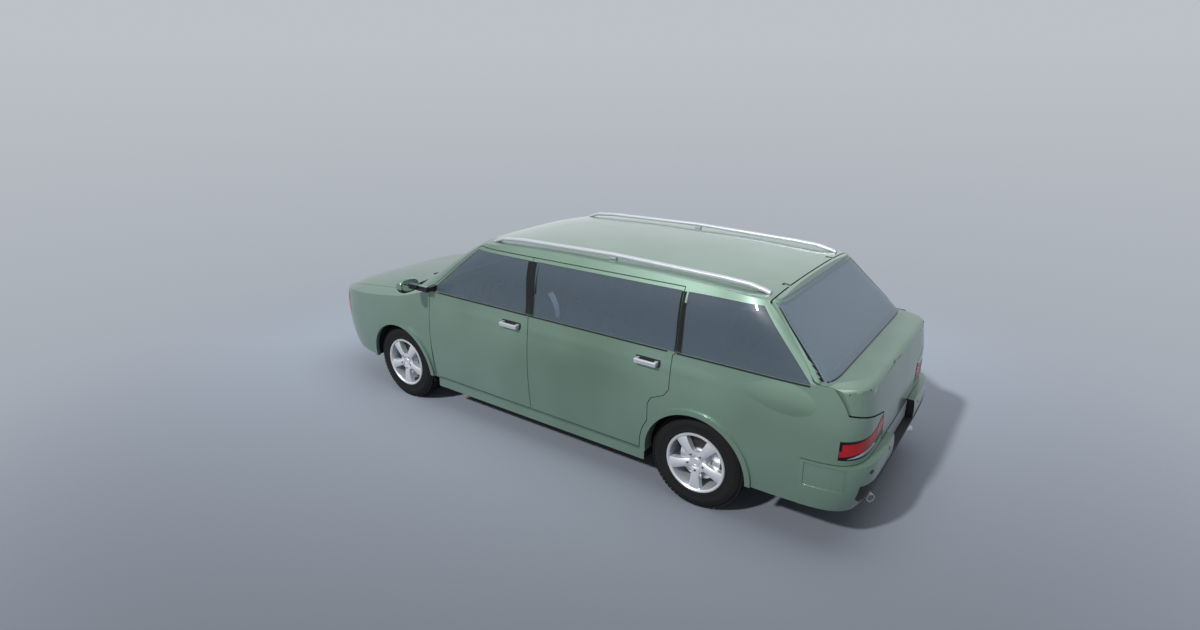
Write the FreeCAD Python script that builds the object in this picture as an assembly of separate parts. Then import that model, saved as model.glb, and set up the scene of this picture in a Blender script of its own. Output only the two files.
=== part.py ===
# Station wagon, full size, millimetres. Front faces -Y, left side is +X, tyres stand on z = 0.
# The body is drawn as closed outer forms; every panel is cut from them at its own depth.
import FreeCAD, Part
import math
import os

os.makedirs("parts", exist_ok=True)
V = FreeCAD.Vector

# Driving dimensions of the whole car
body_length = 4820.0
half_width = 873.0
belt_height = 1030.0
sill_height = 300.0
roof_height = 1496.0
wheelbase = 2770.0
wheel_track = 1470.0
half_length = body_length / 2
nose_y = -half_length
tail_y = half_length
front_axle_y = -wheelbase / 2
rear_axle_y = wheelbase / 2

# Wheels and tyres
tyre_radius = 317.5
tyre_width = 195.0
rim_radius = 201.5
rim_bore = 186.0
spoke_count = 5
bolt_count = 5
disc_radius = 140.0
disc_thickness = 22.0
axle_z = tyre_radius
wheel_centre_x = wheel_track / 2

# Walls, gaps and overruns
door_depth = 76.0
flange_depth = 22.0
frame_depth = 44.0
panel_depth = 14.0
roof_depth = 26.0
shut_gap = 5.0
lid_gap = 10.0
rebate = 30.0
rebate_gap = 6.0
seat_gap = 0.3
pin_fit = 0.05
glass_depth = 3.0
glass_thickness = 5.0
sheet = 6.0
far = 3000.0
over = 10.0
rebate_face = flange_depth + rebate_gap
half_gap = shut_gap / 2

# Door seams, door and window heights, read along the side of the car
front_seam = -985.0
middle_seam = 43.0
rear_seam = 1200.0
door_top = 1416.0
door_sill = 312.0
window_sill = 1034.0
window_head = 1396.0

# Wheel arches
arch_radius = 350.0
flare_radius = 384.0
flare_lip = 15.0
arch_in = 560.0
liner_radius = 366.0


# Outline of the car at one height: a squared oval whose nose and tail have their own tightness
side_shares = (0.0, 0.3, 0.55, 0.72)
nose_shares = (0.965, 0.93, 0.87, 0.76, 0.6, 0.4, 0.2, 0.0)
tail_shares = (0.985, 0.96, 0.92, 0.84, 0.68, 0.46, 0.23, 0.0)


def oval_points(half, middle, reach, power_x, power_y, end_shares, sign):
    points = []
    for share in side_shares:
        x = half * (1 - share ** power_y) ** (1 / power_x)
        points.append((x, middle + sign * reach * share))
    for share in end_shares:
        y = reach * (1 - share ** power_x) ** (1 / power_y)
        points.append((half * share, middle + sign * y))
    return points


def outline(z, half, front, rear, nose_powers, tail_powers):
    middle = (front + rear) / 2
    reach = (rear - front) / 2
    nose = oval_points(half, middle, reach, nose_powers[0], nose_powers[1], nose_shares, -1)
    tail = oval_points(half, middle, reach, tail_powers[0], tail_powers[1], tail_shares, 1)
    return [V(x, y, z) for x, y in reversed(nose)] + [V(x, y, z) for x, y in tail[1:]]


def chord_knots(points):
    lengths = [0.0]
    for a, b in zip(points, points[1:]):
        lengths.append(lengths[-1] + (b - a).Length)
    return [length / lengths[-1] for length in lengths]


def ring(points, knots):
    left = Part.BSplineCurve()
    left.interpolate(Points=points, Parameters=knots, InitialTangent=V(1, 0, 0), FinalTangent=V(-1, 0, 0))
    other = [V(-p.x, p.y, p.z) for p in reversed(points)]
    back = [1 - k for k in reversed(knots)]
    right = Part.BSplineCurve()
    right.interpolate(Points=other, Parameters=back, InitialTangent=V(-1, 0, 0), FinalTangent=V(1, 0, 0))
    return Part.Wire([left.toShape(), right.toShape()])


def stacked(sections, nose_powers, tail_powers):
    knots = chord_knots(outline(*sections[0], nose_powers, tail_powers))
    wires = [ring(outline(*s, nose_powers, tail_powers), knots) for s in sections]
    return Part.makeLoft(wires, True, False)


def sections_of(shares, base, height, inset):
    sections = []
    for z, half, front, rear in shares:
        sections.append((base + height * z, half_width * half - inset, nose_y * front + inset, tail_y * rear - inset))
    return sections


# Lower body, as shares: height from sill to belt, half width, nose and tail along the half length
body_nose = (4.0, 9.0)
body_tail = (10.0, 17.0)
side_height = belt_height - sill_height
lower_shares = (
    (0.0, 0.969, 0.973, 0.9751),
    (0.1781, 0.9874, 0.9934, 0.9784),
    (0.411, 1.0, 1.0, 0.9817),
    (0.6301, 0.9977, 0.9975, 0.9817),
    (0.7945, 0.9851, 0.9909, 0.9793),
    (0.9041, 0.9714, 0.9834, 0.9751),
    (1.0137, 0.9553, 0.9751, 0.971),
)
# Strip under the rear glass, in the same shares
strip_shares = (
    (0.5479, 0.9943, 1.0, 0.9668),
    (0.8973, 0.9714, 1.0, 0.9129),
    (1.0274, 0.9553, 1.0, 0.8921),
)
# Greenhouse, with its heights as shares of the rise from belt to roof
house_nose = (5.5, 12.0)
house_tail = (14.0, 24.0)
house_height = roof_height - belt_height
house_shares = (
    (-0.4936, 0.9759, 0.5643, 0.917),
    (-0.1288, 0.9691, 0.5581, 0.9129),
    (0.0, 0.9507, 0.529, 0.8996),
    (0.4292, 0.8981, 0.3992, 0.8183),
    (0.8798, 0.8018, 0.2564, 0.7336),
    (1.0944, 0.7503, 0.1826, 0.6938),
)

# Crowned surfaces over bonnet, boot and roof, as shares: place along the car, height, drop at the side
bonnet_shares = (
    (-1.0373, 0.4854, 0.0687),
    (-0.9992, 0.6602, 0.0916),
    (-0.9793, 0.7476, 0.1031),
    (-0.9502, 0.8136, 0.1088),
    (-0.9046, 0.8544, 0.1088),
    (-0.7884, 0.899, 0.1031),
    (-0.6224, 0.9437, 0.0916),
    (-0.5187, 0.9728, 0.0687),
    (-0.4315, 1.0039, 0.0344),
    (-0.3734, 1.0243, 0.0115),
)
boot_shares = (
    (0.7884, 1.0097, 0.0057),
    (0.8714, 0.9612, 0.0115),
    (0.9087, 0.9291, 0.0172),
    (0.9378, 0.8981, 0.0286),
    (0.9581, 0.8544, 0.0401),
    (0.9714, 0.7913, 0.0515),
    (0.9793, 0.7282, 0.0602),
    (0.9838, 0.6408, 0.0687),
    (0.9871, 0.3883, 0.0687),
)
roof_shares = (
    (-0.3734, 0.8824, 0.0687),
    (-0.2656, 0.9599, 0.0596),
    (-0.1992, 0.9799, 0.0573),
    (-0.0415, 0.996, 0.0573),
    (0.2075, 1.0, 0.0596),
    (0.4979, 0.9906, 0.0573),
    (0.6846, 0.9726, 0.0527),
    (0.7884, 0.9572, 0.0527),
)
crown_shares = (-1.0, -0.9, -0.75, -0.5, -0.25, 0.0, 0.25, 0.5, 0.75, 0.9, 1.0)
lid_power = 4
roof_power = 2.6


def above(shares, height, wide, power, inset):
    wires = []
    for y, z, drop in shares:
        level = z * height - inset
        top = [V(s * wide, y * half_length, level - drop * half_width * abs(s) ** power) for s in crown_shares]
        curve = Part.BSplineCurve()
        curve.interpolate(Points=top, Parameters=list(range(len(top))))
        sky = [V(wide, y * half_length, far), V(-wide, y * half_length, far)]
        edges = [curve.toShape(), Part.makeLine(top[-1], sky[0])]
        edges += [Part.makeLine(sky[0], sky[1]), Part.makeLine(sky[1], top[0])]
        wires.append(Part.Wire(edges))
    return Part.makeLoft(wires, True, False)


forms = {}


def lower_form(inset):
    if inset not in forms:
        body = stacked(sections_of(lower_shares, sill_height, side_height, inset), body_nose, body_tail)
        body = body.cut(above(bonnet_shares, belt_height, half_width + over, lid_power, inset))
        boot = above(boot_shares, belt_height, half_width + over, lid_power, inset)
        strip = stacked(sections_of(strip_shares, sill_height, side_height, inset), body_nose, body_tail)
        forms[inset] = body.cut(boot.cut(strip))
    return forms[inset]


def house_form(inset, lid):
    house = stacked(sections_of(house_shares, belt_height, house_height, inset), house_nose, house_tail)
    return house.cut(above(roof_shares, roof_height, half_width, roof_power, lid))


def body_form(inset):
    return lower_form(inset).fuse(house_form(inset, inset))


# Cutting tools drawn in one view and pushed through the car
def face_of(points):
    return Part.Face(Part.makePolygon(points + [points[0]]))


def side_cut(points, x0, x1):
    return face_of([V(x0, y, z) for y, z in points]).extrude(V(x1 - x0, 0, 0))


def front_cut(points, y0, y1):
    return face_of([V(x, y0, z) for x, z in points]).extrude(V(0, y1 - y0, 0))


def plan_cut(points, z0, z1):
    return face_of([V(x, y, z0) for x, y in points]).extrude(V(0, 0, z1 - z0))


def block(x0, x1, y0, y1, z0, z1):
    return Part.makeBox(x1 - x0, y1 - y0, z1 - z0, V(x0, y0, z0))


def drum(radius, x0, x1, y, z):
    return Part.makeCylinder(radius, x1 - x0, V(x0, y, z), V(1, 0, 0))


def post(radius, x, y, z0, z1):
    return Part.makeCylinder(radius, z1 - z0, V(x, y, z0))


def rod(radius, start, end):
    return Part.makeCylinder(radius, (end - start).Length, start, end - start)


def other_side(shape):
    return shape.mirror(V(0, 0, 0), V(1, 0, 0))


def both_sides(shape):
    return Part.makeCompound([shape, other_side(shape)])


def cut_both(shape, cutter):
    return shape.cut(cutter).cut(other_side(cutter))


def joined(shapes):
    return shapes[0].multiFuse(shapes[1:]).removeSplitter()


def rounded(shape, radius):
    return shape.makeFillet(radius, shape.Edges)


def spread(shares, size_a, size_b):
    return [(size_a * a, size_b * b) for a, b in shares]


def two_sided(points):
    return points + [(-x, z) for x, z in reversed(points)]


def inflated(points, gap):
    wire = Part.makePolygon([V(a, b, 0) for a, b in points] + [V(points[0][0], points[0][1], 0)])
    wider = wire.makeOffset2D(gap, 2)
    return [(v.X, v.Y) for v in wider.OrderedVertexes]


def save(name, shape):
    solids = shape.Solids
    kept = solids[0] if len(solids) == 1 else Part.makeCompound(solids)
    bad = [s for s in solids if not s.isValid()]
    print(name, "solids", len(solids), "bad", len(bad), "litres", round(kept.Volume / 1e6, 2))
    kept.exportStep("parts/" + name + ".step")


# Forms at the depths where the walls lie
outer = body_form(0)
flange_back = body_form(flange_depth)
pillar_face = body_form(rebate_face)
cabin = lower_form(door_depth).fuse(house_form(frame_depth, roof_depth))
glass_back = glass_depth + glass_thickness
glass_layer = house_form(glass_depth, glass_depth).cut(house_form(glass_back, glass_back))
nose_body = lower_form(0).cut(house_form(0, 0))
nose_back = lower_form(panel_depth)
shell = outer.cut(cabin)
left_half = block(1.0, far, -far, far, 0, far)
flange_layer = outer.cut(flange_back).common(left_half)
box_layer = flange_back.cut(cabin).common(left_half)

# Door outlines in side view: the rear door's lower edge runs round the wheel flare
lean = 20.0
knee_z = 620.0
bend_z = 930.0
pillar_seam_top = 4.0
pillar_foot = (-1012.0, 1034.0)
pillar_head = (-572.0, 1408.0)
pillar_top_y = -540.0
jog_y = 1050.0
jog_low = 660.0
jog_high = 790.0
flare_clearance = 20.0
door_arc_shares = (0.186, 0.122, 0.061)
jog_shares = ((0.02, 1.0), (0.23, 0.66), (0.83, 0.35))

front_door_line = [
    (front_seam + lean, door_sill),
    (front_seam + half_gap, knee_z),
    (front_seam + half_gap, belt_height - lean),
    pillar_foot,
    pillar_head,
    (pillar_top_y, door_top),
    (pillar_seam_top - half_gap, door_top),
    (middle_seam - half_gap, bend_z),
    (middle_seam - half_gap, door_sill),
]
door_arc = flare_radius + flare_clearance
round_flare = [(rear_axle_y - door_arc * math.cos(math.pi * s), axle_z + door_arc * math.sin(math.pi * s))
               for s in door_arc_shares]
jog = [(rear_seam + (jog_y - rear_seam) * s, jog_low + (jog_high - jog_low) * t) for s, t in jog_shares]
rear_door_line = [
    (middle_seam + half_gap, door_sill),
    (middle_seam + half_gap, bend_z),
    (pillar_seam_top + half_gap, door_top),
    (rear_seam + half_gap, door_top),
    (rear_seam + lean, window_sill),
    (rear_seam, belt_height - lean),
] + jog + [(jog_y, jog_low)] + round_flare + [(rear_axle_y - door_arc, door_sill)]

window_line_shares = {
    "front": ((-0.4087, 0.0), (-0.2324, 1.0), (-0.0158, 1.0), (0.0021, 0.0)),
    "rear": ((0.0315, 0.0), (0.0166, 1.0), (0.4925, 1.0), (0.5008, 0.0)),
    "quarter": ((0.5212, 0.0), (0.5124, 1.0), (0.7104, 1.0), (0.8515, 0.0)),
}


def window(name):
    rise = window_head - window_sill
    return [(half_length * y, window_sill + rise * z) for y, z in window_line_shares[name]]


def door(line, opening):
    flange = side_cut(line, 0, far).common(flange_layer)
    box = side_cut(inflated(line, -rebate), 0, far).common(box_layer)
    panel = joined([flange, box]).cut(side_cut(opening, 0, far))
    pane = side_cut(inflated(opening, -seat_gap), 0, far)
    return panel, pane.common(glass_layer)


def aperture(line):
    mouth = side_cut(inflated(line, shut_gap), 0, far).cut(pillar_face)
    throat = side_cut(inflated(line, -rebate + rebate_gap), 0, far)
    return mouth.fuse(throat)


front_door, front_pane = door(front_door_line, window("front"))
rear_door, rear_pane = door(rear_door_line, window("rear"))

# Weather seals that the doors close on, left open at the hinge edge
seal_face = body_form(flange_depth + seat_gap)
seal_inset = 10.0
seal_width = 10.0
hinge_clearance = 50.0


def seal(line, seam):
    band = side_cut(inflated(line, -seal_inset), 0, far)
    band = band.cut(side_cut(inflated(line, -seal_inset - seal_width), 0, far))
    band = band.common(block(0, far, seam + hinge_clearance, far, 0, far))
    return band.common(seal_face).cut(pillar_face)


front_seal = seal(front_door_line, front_seam)
rear_seal = seal(rear_door_line, middle_seam)


# Wheel arches and their flares
def arch(axle_y):
    return drum(arch_radius, arch_in, far, axle_y, axle_z)


def flare(axle_y):
    band = drum(flare_radius, arch_in, far, axle_y, axle_z).cut(drum(arch_radius, 0, far, axle_y, axle_z))
    band = band.cut(block(0, far, -far, far, 0, sill_height))
    return band.common(lower_form(-flare_lip)).cut(nose_back)


# Windscreen and tailgate outlines seen from the front, as shares of the half width and roof height
roof_seam = 622.0
roof_low = 1380.0
screen_rear = -500.0
screen_shares = ((0.8568, 0.6725), (0.701, 0.9545))
tail_glass_shares = ((0.8797, 0.7166), (0.7491, 0.9412))
tail_shares_up = ((0.449, 0.4118), (0.4926, 0.5428), (0.9049, 0.605), (0.9129, 0.7019), (0.7652, 0.9826))
tail_front = 1600.0
tail_hinge_y = 1744.0
tail_pin_y = 1706.0
tail_pin_z = 1431.0
tail_pin_x = 400.0
tail_pin_radius = 5.0
tail_eye_radius = 10.0
strap_width = 24.0
strap_rise = 4.0
strap_fall = 12.0
notch_gap = 8.0
tail_rebate = 15.0
tail_lip_y = 2262.0
tail_lip_z = 850.0
tail_side_shares = ((1.0, 0.0), (0.9198, 0.3475), (0.8919, 0.465), (0.8714, 0.8639))
bumper_top = 610.0
bumper_side_y = 2050.0

screen_line = two_sided(spread(screen_shares, -half_width, roof_height))
tail_glass_line = two_sided(spread(tail_glass_shares, half_width, roof_height))
tail_line = two_sided(spread(tail_shares_up, half_width, roof_height))
side_low_z = 905.0
side_low_y = 2100.0
side_belt_y = 2082.0
hinge_low_z = 1376.0


def tail_side(shift):
    points = [(tail_hinge_y, far), (tail_hinge_y, hinge_low_z), (side_belt_y, belt_height)]
    points += [(side_low_y, side_low_z), (tail_lip_y, tail_lip_z), (tail_lip_y, 0.0)]
    return [(y - shift, z) for y, z in points] + [(far, 0.0), (far, far)]


screen_zone = front_cut(screen_line, -far, screen_rear)
tail_zone = front_cut(tail_line, tail_front, far).common(side_cut(tail_side(0), -far, far))
tail_mouth = front_cut(inflated(tail_line, lid_gap), tail_front, far)
tail_mouth = tail_mouth.common(side_cut(tail_side(lid_gap), -far, far))
glass_start = tail_hinge_y + strap_rise

# Tailgate with two hinge straps that reach forward to pins in notches of the roof's edge
tail_edge = front_cut(tail_line, tail_front, far).cut(front_cut(inflated(tail_line, -tail_rebate), 0, far))
tailgate = tail_zone.common(shell).cut(front_cut(tail_glass_line, glass_start, far))
tailgate = tailgate.cut(tail_edge.common(flange_back))
strap_x0 = tail_pin_x - strap_width / 2
strap_x1 = tail_pin_x + strap_width / 2
strap_root = tail_hinge_y + strap_fall
strap = side_cut([
    (tail_pin_y, tail_pin_z - tail_eye_radius),
    (strap_root, tail_pin_z - strap_fall),
    (strap_root, tail_pin_z - strap_rise / 2),
    (tail_hinge_y - strap_rise, tail_pin_z + strap_rise),
    (tail_pin_y, tail_pin_z + tail_eye_radius),
], strap_x0, strap_x1)
strap = joined([strap, drum(tail_eye_radius, strap_x0, strap_x1, tail_pin_y, tail_pin_z)])
strap = strap.cut(drum(tail_pin_radius + pin_fit, 0, far, tail_pin_y, tail_pin_z))
tailgate = joined([tailgate, strap, other_side(strap)])
notch_front = tail_pin_y - tail_eye_radius - sheet
strap_notch = block(strap_x0 - notch_gap, strap_x1 + notch_gap, notch_front, far, belt_height, far)
pin_reach = notch_gap + strap_rise
tail_pin = drum(tail_pin_radius, strap_x0 - pin_reach, strap_x1 + pin_reach, tail_pin_y, tail_pin_z)
tail_pane = front_cut(inflated(tail_glass_line, -seat_gap), glass_start, far).common(glass_layer)

# Side walls: pillars, quarters and cant rails
door_edge = front_seam + shut_gap
screen_foot_y = -1400.0
roof_cut_low = 1288.0
side_zone = block(1.0, far, door_edge, tail_y, sill_height, far)
side_zone = side_zone.fuse(block(0, far, screen_foot_y, tail_y, belt_height - rebate, far))
bumper_zone = block(0, far, bumper_side_y, far, 0, bumper_top)
wall = shell.common(side_zone)
wall = wall.cut(nose_body.common(block(0, far, -far, door_edge, 0, far)))
wall = wall.cut(screen_zone).cut(tail_mouth).cut(block(0, roof_seam, -far, far, roof_cut_low, far))
wall = wall.cut(aperture(front_door_line)).cut(aperture(rear_door_line))
wall = wall.cut(side_cut(window("quarter"), 0, far)).cut(bumper_zone).cut(arch(rear_axle_y))
wall = wall.fuse(flare(rear_axle_y))

# Nose: bonnet on two goosenecks, fenders, bumper, grille and headlamps
bonnet_rear = -1400.0
bonnet_pin_y = -1380.0
bonnet_pin_z = 945.0
bonnet_pin_x = 500.0
bonnet_pin_radius = 8.0
bonnet_eye_radius = 14.0
bonnet_tip = 800.0
ear_width = 24.0
ear_length = 80.0
ear_rise = 22.0
ear_fall = 6.0
lamp_edge_y = -2130.0
lamp_low = 622.0
lamp_high = 792.0
lamp_inner = 430.0
front_low_y = -1790.0
bonnet_plan_shares = ((0.8419, 0.5809), (0.7904, 0.9502), (0.7331, 1.2448))
cowl_half = 780.0
cowl_notch_half = 740.0
cowl_rear = -1290.0
cowl_cut_rear = -1120.0
cowl_low = 900.0

bonnet_line = two_sided(spread(bonnet_plan_shares, -half_width, -half_length))
nose_skin = nose_body.cut(nose_back).common(block(-far, far, -far, front_seam - half_gap, 0, far))
bonnet = nose_skin.common(plan_cut(bonnet_line, bonnet_tip, far))
ear_x0 = bonnet_pin_x - ear_width / 2
ear_x1 = bonnet_pin_x + ear_width / 2
ear = side_cut([
    (bonnet_pin_y, bonnet_pin_z + bonnet_eye_radius),
    (bonnet_rear, bonnet_pin_z + ear_rise),
    (bonnet_rear - ear_length, bonnet_pin_z + bonnet_eye_radius),
    (bonnet_rear - ear_length, bonnet_pin_z - ear_fall),
    (bonnet_pin_y, bonnet_pin_z - bonnet_eye_radius),
], ear_x0, ear_x1)
ear = joined([ear, drum(bonnet_eye_radius, ear_x0, ear_x1, bonnet_pin_y, bonnet_pin_z)])
ear = ear.cut(drum(bonnet_pin_radius + pin_fit, 0, far, bonnet_pin_y, bonnet_pin_z))
bonnet = joined([bonnet, ear, other_side(ear)])
bonnet_mouth = plan_cut(inflated(bonnet_line, shut_gap), bonnet_tip - shut_gap, far)

ear_swing = 20.0
arm_gap = 6.0
arm_thickness = 12.0
cowl_cut = block(-cowl_notch_half, cowl_notch_half, bonnet_rear + shut_gap, cowl_cut_rear, 0, far)
cowl = nose_back.cut(lower_form(rebate_face))
cowl = cowl.common(block(-cowl_half, cowl_half, bonnet_rear + lid_gap, cowl_rear, cowl_low, far))
ear_slot_x1 = ear_x1 + ear_swing + bonnet_eye_radius
cowl = cut_both(cowl, block(ear_x0 - ear_swing, ear_slot_x1, -far, bonnet_pin_y + ear_swing + ear_fall, 0, far))

lamp_zone = block(lamp_inner, far, -far, lamp_edge_y, lamp_low, lamp_high)
grille_zone = block(-lamp_inner, lamp_inner, -far, 0, lamp_low, lamp_high)
front_low_zone = block(-far, far, -far, front_low_y, 0, bumper_top)
fender = nose_skin.cut(bonnet_mouth).cut(cowl_cut).cut(front_low_zone)
fender = fender.cut(block(-far, far, -far, lamp_edge_y, 0, lamp_high + shut_gap))
fender = fender.common(block(0, far, -far, 0, 0, far))
fender = fender.cut(side_cut(inflated(front_door_line, shut_gap), 0, far)).cut(arch(front_axle_y))
front_flare = flare(front_axle_y).cut(front_low_zone).cut(block(0, far, front_seam - half_gap, 0, 0, far))
fender = fender.fuse(front_flare).removeSplitter()
front_bumper = nose_skin.common(front_low_zone).cut(drum(flare_radius + half_gap, -far, far, front_axle_y, axle_z))

# Two cooling slots with a bar between them, a ribbed grille and lamps that follow the corner
intake_half = 420.0
intake_low = 364.0
intake_high = 476.0
intake_bar = 16.0
intake_rear = -2000.0
intake_middle = (intake_low + intake_high) / 2
for low, high in ((intake_low, intake_middle - intake_bar / 2), (intake_middle + intake_bar / 2, intake_high)):
    front_bumper = front_bumper.cut(block(-intake_half, intake_half, -far, intake_rear, low, high))
lamp_layer = nose_body.cut(lower_form(door_depth))
headlamp = lamp_layer.common(lamp_zone)
grille_bars = 5
grille_rim = 16.0
grille_bar = 14.0
grille = nose_back.cut(lower_form(rebate_face)).common(grille_zone)
grille_pitch = (lamp_high - lamp_low - 2 * grille_rim + grille_bar) / grille_bars
for i in range(grille_bars):
    low = lamp_low + grille_rim + i * grille_pitch
    cell = block(-lamp_inner + grille_rim, lamp_inner - grille_rim, -far, 0, low, low + grille_pitch - grille_bar)
    grille = grille.cut(cell)

# Tail lamps wrap the corner; the bumper carries a plate well, side panels and two exhaust mouths
lamp_side_y = 2242.0
tail_lamp_shares = (
    (1.1455, 0.4278), (0.7331, 0.4278), (0.4628, 0.4412), (0.4857, 0.5388), (0.6415, 0.5094), (1.1455, 0.5013),
)
tail_lamp_line = spread(tail_lamp_shares, half_width, roof_height)
tail_lamp_zone = front_cut(tail_lamp_line, lamp_side_y, far)
tail_lamp = lamp_layer.common(tail_lamp_zone).cut(tail_mouth)
wall = wall.cut(tail_lamp_zone)

bumper_wall = 30.0
bumper_shares = ((0.0, 0.9737, 1.0, 0.9759), (0.1644, 0.992, 1.0, 0.9967), (0.4178, 0.9989, 1.0, 1.0))
panel_step = 6.0
panel_y0 = 2072.0
panel_y1 = 2296.0
panel_z0 = 442.0
panel_z1 = 590.0
shelf = 25.0


def bumper_form(inset):
    return stacked(sections_of(bumper_shares, sill_height, side_height, inset), body_nose, body_tail)


bumper_core = bumper_form(bumper_wall).cut(block(-far, far, 0, far, bumper_top - shelf, far))
rear_bumper = bumper_form(0).cut(bumper_core)
rear_bumper = rear_bumper.cut(block(-half_width / 2, half_width / 2, 0, nose_y + far, 0, sill_height))
rear_bumper = rear_bumper.common(block(-far, far, bumper_side_y, far, 0, far))
side_panel = block(0, far, panel_y0, panel_y1, panel_z0, panel_z1).cut(bumper_form(panel_step))
rear_bumper = cut_both(rear_bumper, side_panel)

plate_half = 260.0
plate_height = 110.0
plate_thickness = 3.0
plate_low = 486.0
well_margin = 10.0
well_depth = 46.0
well_wall = 5.0
well_low = plate_low - well_margin
well_half = plate_half + well_margin
well_floor = tail_y - well_depth
well = block(-well_half, well_half, well_floor, far, well_low, far)
tray = block(-well_half - well_wall, well_half + well_wall, well_floor - well_wall, tail_y - panel_depth,
             well_low - well_wall, bumper_top - lid_gap)
rear_bumper = joined([rear_bumper.cut(well), tray.cut(well)])

exhaust_z = 280.0
exhaust_out_x = 515.0
exhaust_in_x = 230.0
exhaust_box_y = 2050.0
exhaust_end_y = 2380.0
tip_radius = 26.0
tip_start = V(exhaust_in_x, exhaust_box_y, exhaust_z)
tip_end = V(exhaust_out_x, exhaust_end_y, exhaust_z)
tip_beyond = tip_end + (tip_end - tip_start).normalize() * rebate * 4
rear_bumper = cut_both(rear_bumper, rod(tip_radius + sheet, tip_start, tip_beyond))

# Roof and fixed glass
roof_zone = block(-roof_seam, roof_seam, -far, tail_hinge_y - lid_gap, roof_low, far)
roof = shell.common(roof_zone).cut(screen_zone).cut(tail_mouth)
door_head = side_cut(inflated(front_door_line, shut_gap), roof_seam - ear_rise, far)
roof = cut_both(cut_both(roof, door_head), strap_notch)
roof = joined([roof, tail_pin, other_side(tail_pin)])
screen = front_cut(inflated(screen_line, -seat_gap), -far, screen_rear).common(glass_layer)
quarter_pane = side_cut(inflated(window("quarter"), -seat_gap), 0, far).common(glass_layer)

# Roof rails: a rounded bar on two feet
rail_x = 590.0
rail_top = 1540.0
rail_width = 32.0
rail_height = 26.0
rail_front = -500.0
rail_rear = 1710.0
rail_foot = 46.0
rail_slope = 130.0
rail_round = 8.0
rail_seat = 1478.0
rail_low = 1440.0
rail_bar = rail_top - rail_height
rail = side_cut([
    (rail_front, rail_seat), (rail_front + rail_slope, rail_top),
    (rail_rear - rail_slope, rail_top), (rail_rear, rail_seat),
    (rail_rear - rail_foot, rail_seat), (rail_rear - rail_slope - rail_height / 2, rail_bar),
    (rail_front + rail_slope + rail_height / 2, rail_bar), (rail_front + rail_foot, rail_seat),
], rail_x - rail_width / 2, rail_x + rail_width / 2)
rail = rounded(rail, rail_round)
rail_inset = rail_round / 2
foot_x0 = rail_x - rail_width / 2 + rail_inset
foot_x1 = rail_x + rail_width / 2 - rail_inset
feet = []
for y in (rail_front + rail_inset, rail_rear - rail_foot + rail_inset):
    feet.append(block(foot_x0, foot_x1, y, y + rail_foot - rail_round, rail_low, rail_seat + rail_round))
rail = joined([rail] + feet).cut(outer)

# Floor, sills, wheel houses and load floor
floor_low = 200.0
floor_thickness = 24.0
floor_half = 720.0
house_wall = 6.0
rear_in = 600.0
front_in = 462.0
rear_out = 790.0
front_out = 838.0
floor_front = -1120.0
riser_y = 980.0
load_low = 520.0
load_thickness = 20.0
rear_panel_half = 700.0
sill_out = 812.0
sill_front = -990.0
rear_panel_y = 2240.0
rear_panel_low = 330.0
rear_panel_thickness = 22.0
latch_sill = 80.0
latch_top = 584.0
floor_high = floor_low + floor_thickness
jack_x = 760.0
jack_half = 30.0
jack_height = 12.0
jack_places = (-800.0, 850.0)


def wheel_house(axle_y, inner_x, outer_x):
    skin = drum(liner_radius + house_wall, inner_x - house_wall, outer_x, axle_y, axle_z)
    return skin.cut(wheel_room(axle_y, inner_x)).cut(block(0, far, -far, far, -far, sill_height))


def wheel_room(axle_y, inner_x):
    return drum(liner_radius, inner_x, far, axle_y, axle_z)


rear_house = wheel_house(rear_axle_y, rear_in, rear_out)
floor = block(-floor_half, floor_half, floor_front, riser_y + load_thickness, floor_low, floor_high)
sill = block(floor_half - 2 * load_thickness, sill_out, sill_front, riser_y + load_thickness, floor_low, sill_height)
rear_panel_end = rear_panel_y + rear_panel_thickness
rear_panel = block(-rear_panel_half, rear_panel_half, rear_panel_y, rear_panel_end, rear_panel_low, latch_top)
latch_low = latch_top - 2 * load_thickness
rear_sill = block(-rear_panel_half, rear_panel_half, rear_panel_y, rear_panel_y + latch_sill, latch_low, latch_top)
load_floor = block(-floor_half, floor_half, riser_y, rear_panel_end, load_low, load_low + load_thickness)
seat_riser = block(-floor_half, floor_half, riser_y, riser_y + load_thickness, floor_high, load_low + load_thickness)
pads = []
for y in jack_places:
    pad = block(jack_x - jack_half, jack_x + jack_half, y - jack_half, y + jack_half,
                floor_low - jack_height, floor_high)
    pads += [pad, other_side(pad)]
pan = joined([floor, sill, other_side(sill), rear_panel, rear_sill, load_floor, seat_riser] + pads)
pan = cut_both(cut_both(pan, wheel_room(rear_axle_y, rear_in)), wheel_room(front_axle_y, front_in))
axle_slot_half = 80.0
axle_slot_top = 400.0
axle_slot = block(rear_in - load_thickness, rear_in + over,
                  rear_axle_y - axle_slot_half, rear_axle_y + axle_slot_half, 0, axle_slot_top)
pan = cut_both(joined([pan, rear_house, other_side(rear_house)]), wall)
pan = cut_both(pan, axle_slot)

# Engine bay: bulkhead, inner wings, front beam, radiator and the bonnet's hinge arms
bulkhead_thickness = 20.0
bulkhead_top = 960.0
wing_thickness = 12.0
wing_front = -2160.0
wing_low = 420.0
wing_top = 850.0
beam_half = 640.0
beam_depth = 40.0
beam_top = 600.0
radiator_half = 360.0
radiator_depth = 34.0
radiator_top = 770.0
arm_foot_low = 90.0
arm_foot_high = 40.0
arm_eye = 13.0
bulkhead = block(-floor_half, floor_half, floor_front - bulkhead_thickness, floor_front, floor_high, bulkhead_top)
inner_wing = block(front_in - wing_thickness, front_in, wing_front, floor_front, wing_low, wing_top)
front_beam = block(-beam_half, beam_half, wing_front - beam_depth, wing_front, wing_low, beam_top)
radiator = block(-radiator_half, radiator_half, wing_front, wing_front + radiator_depth, wing_low, radiator_top)
wing_tie = block(-front_in, front_in, wing_front, wing_front + wing_thickness, wing_low, beam_top)
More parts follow.
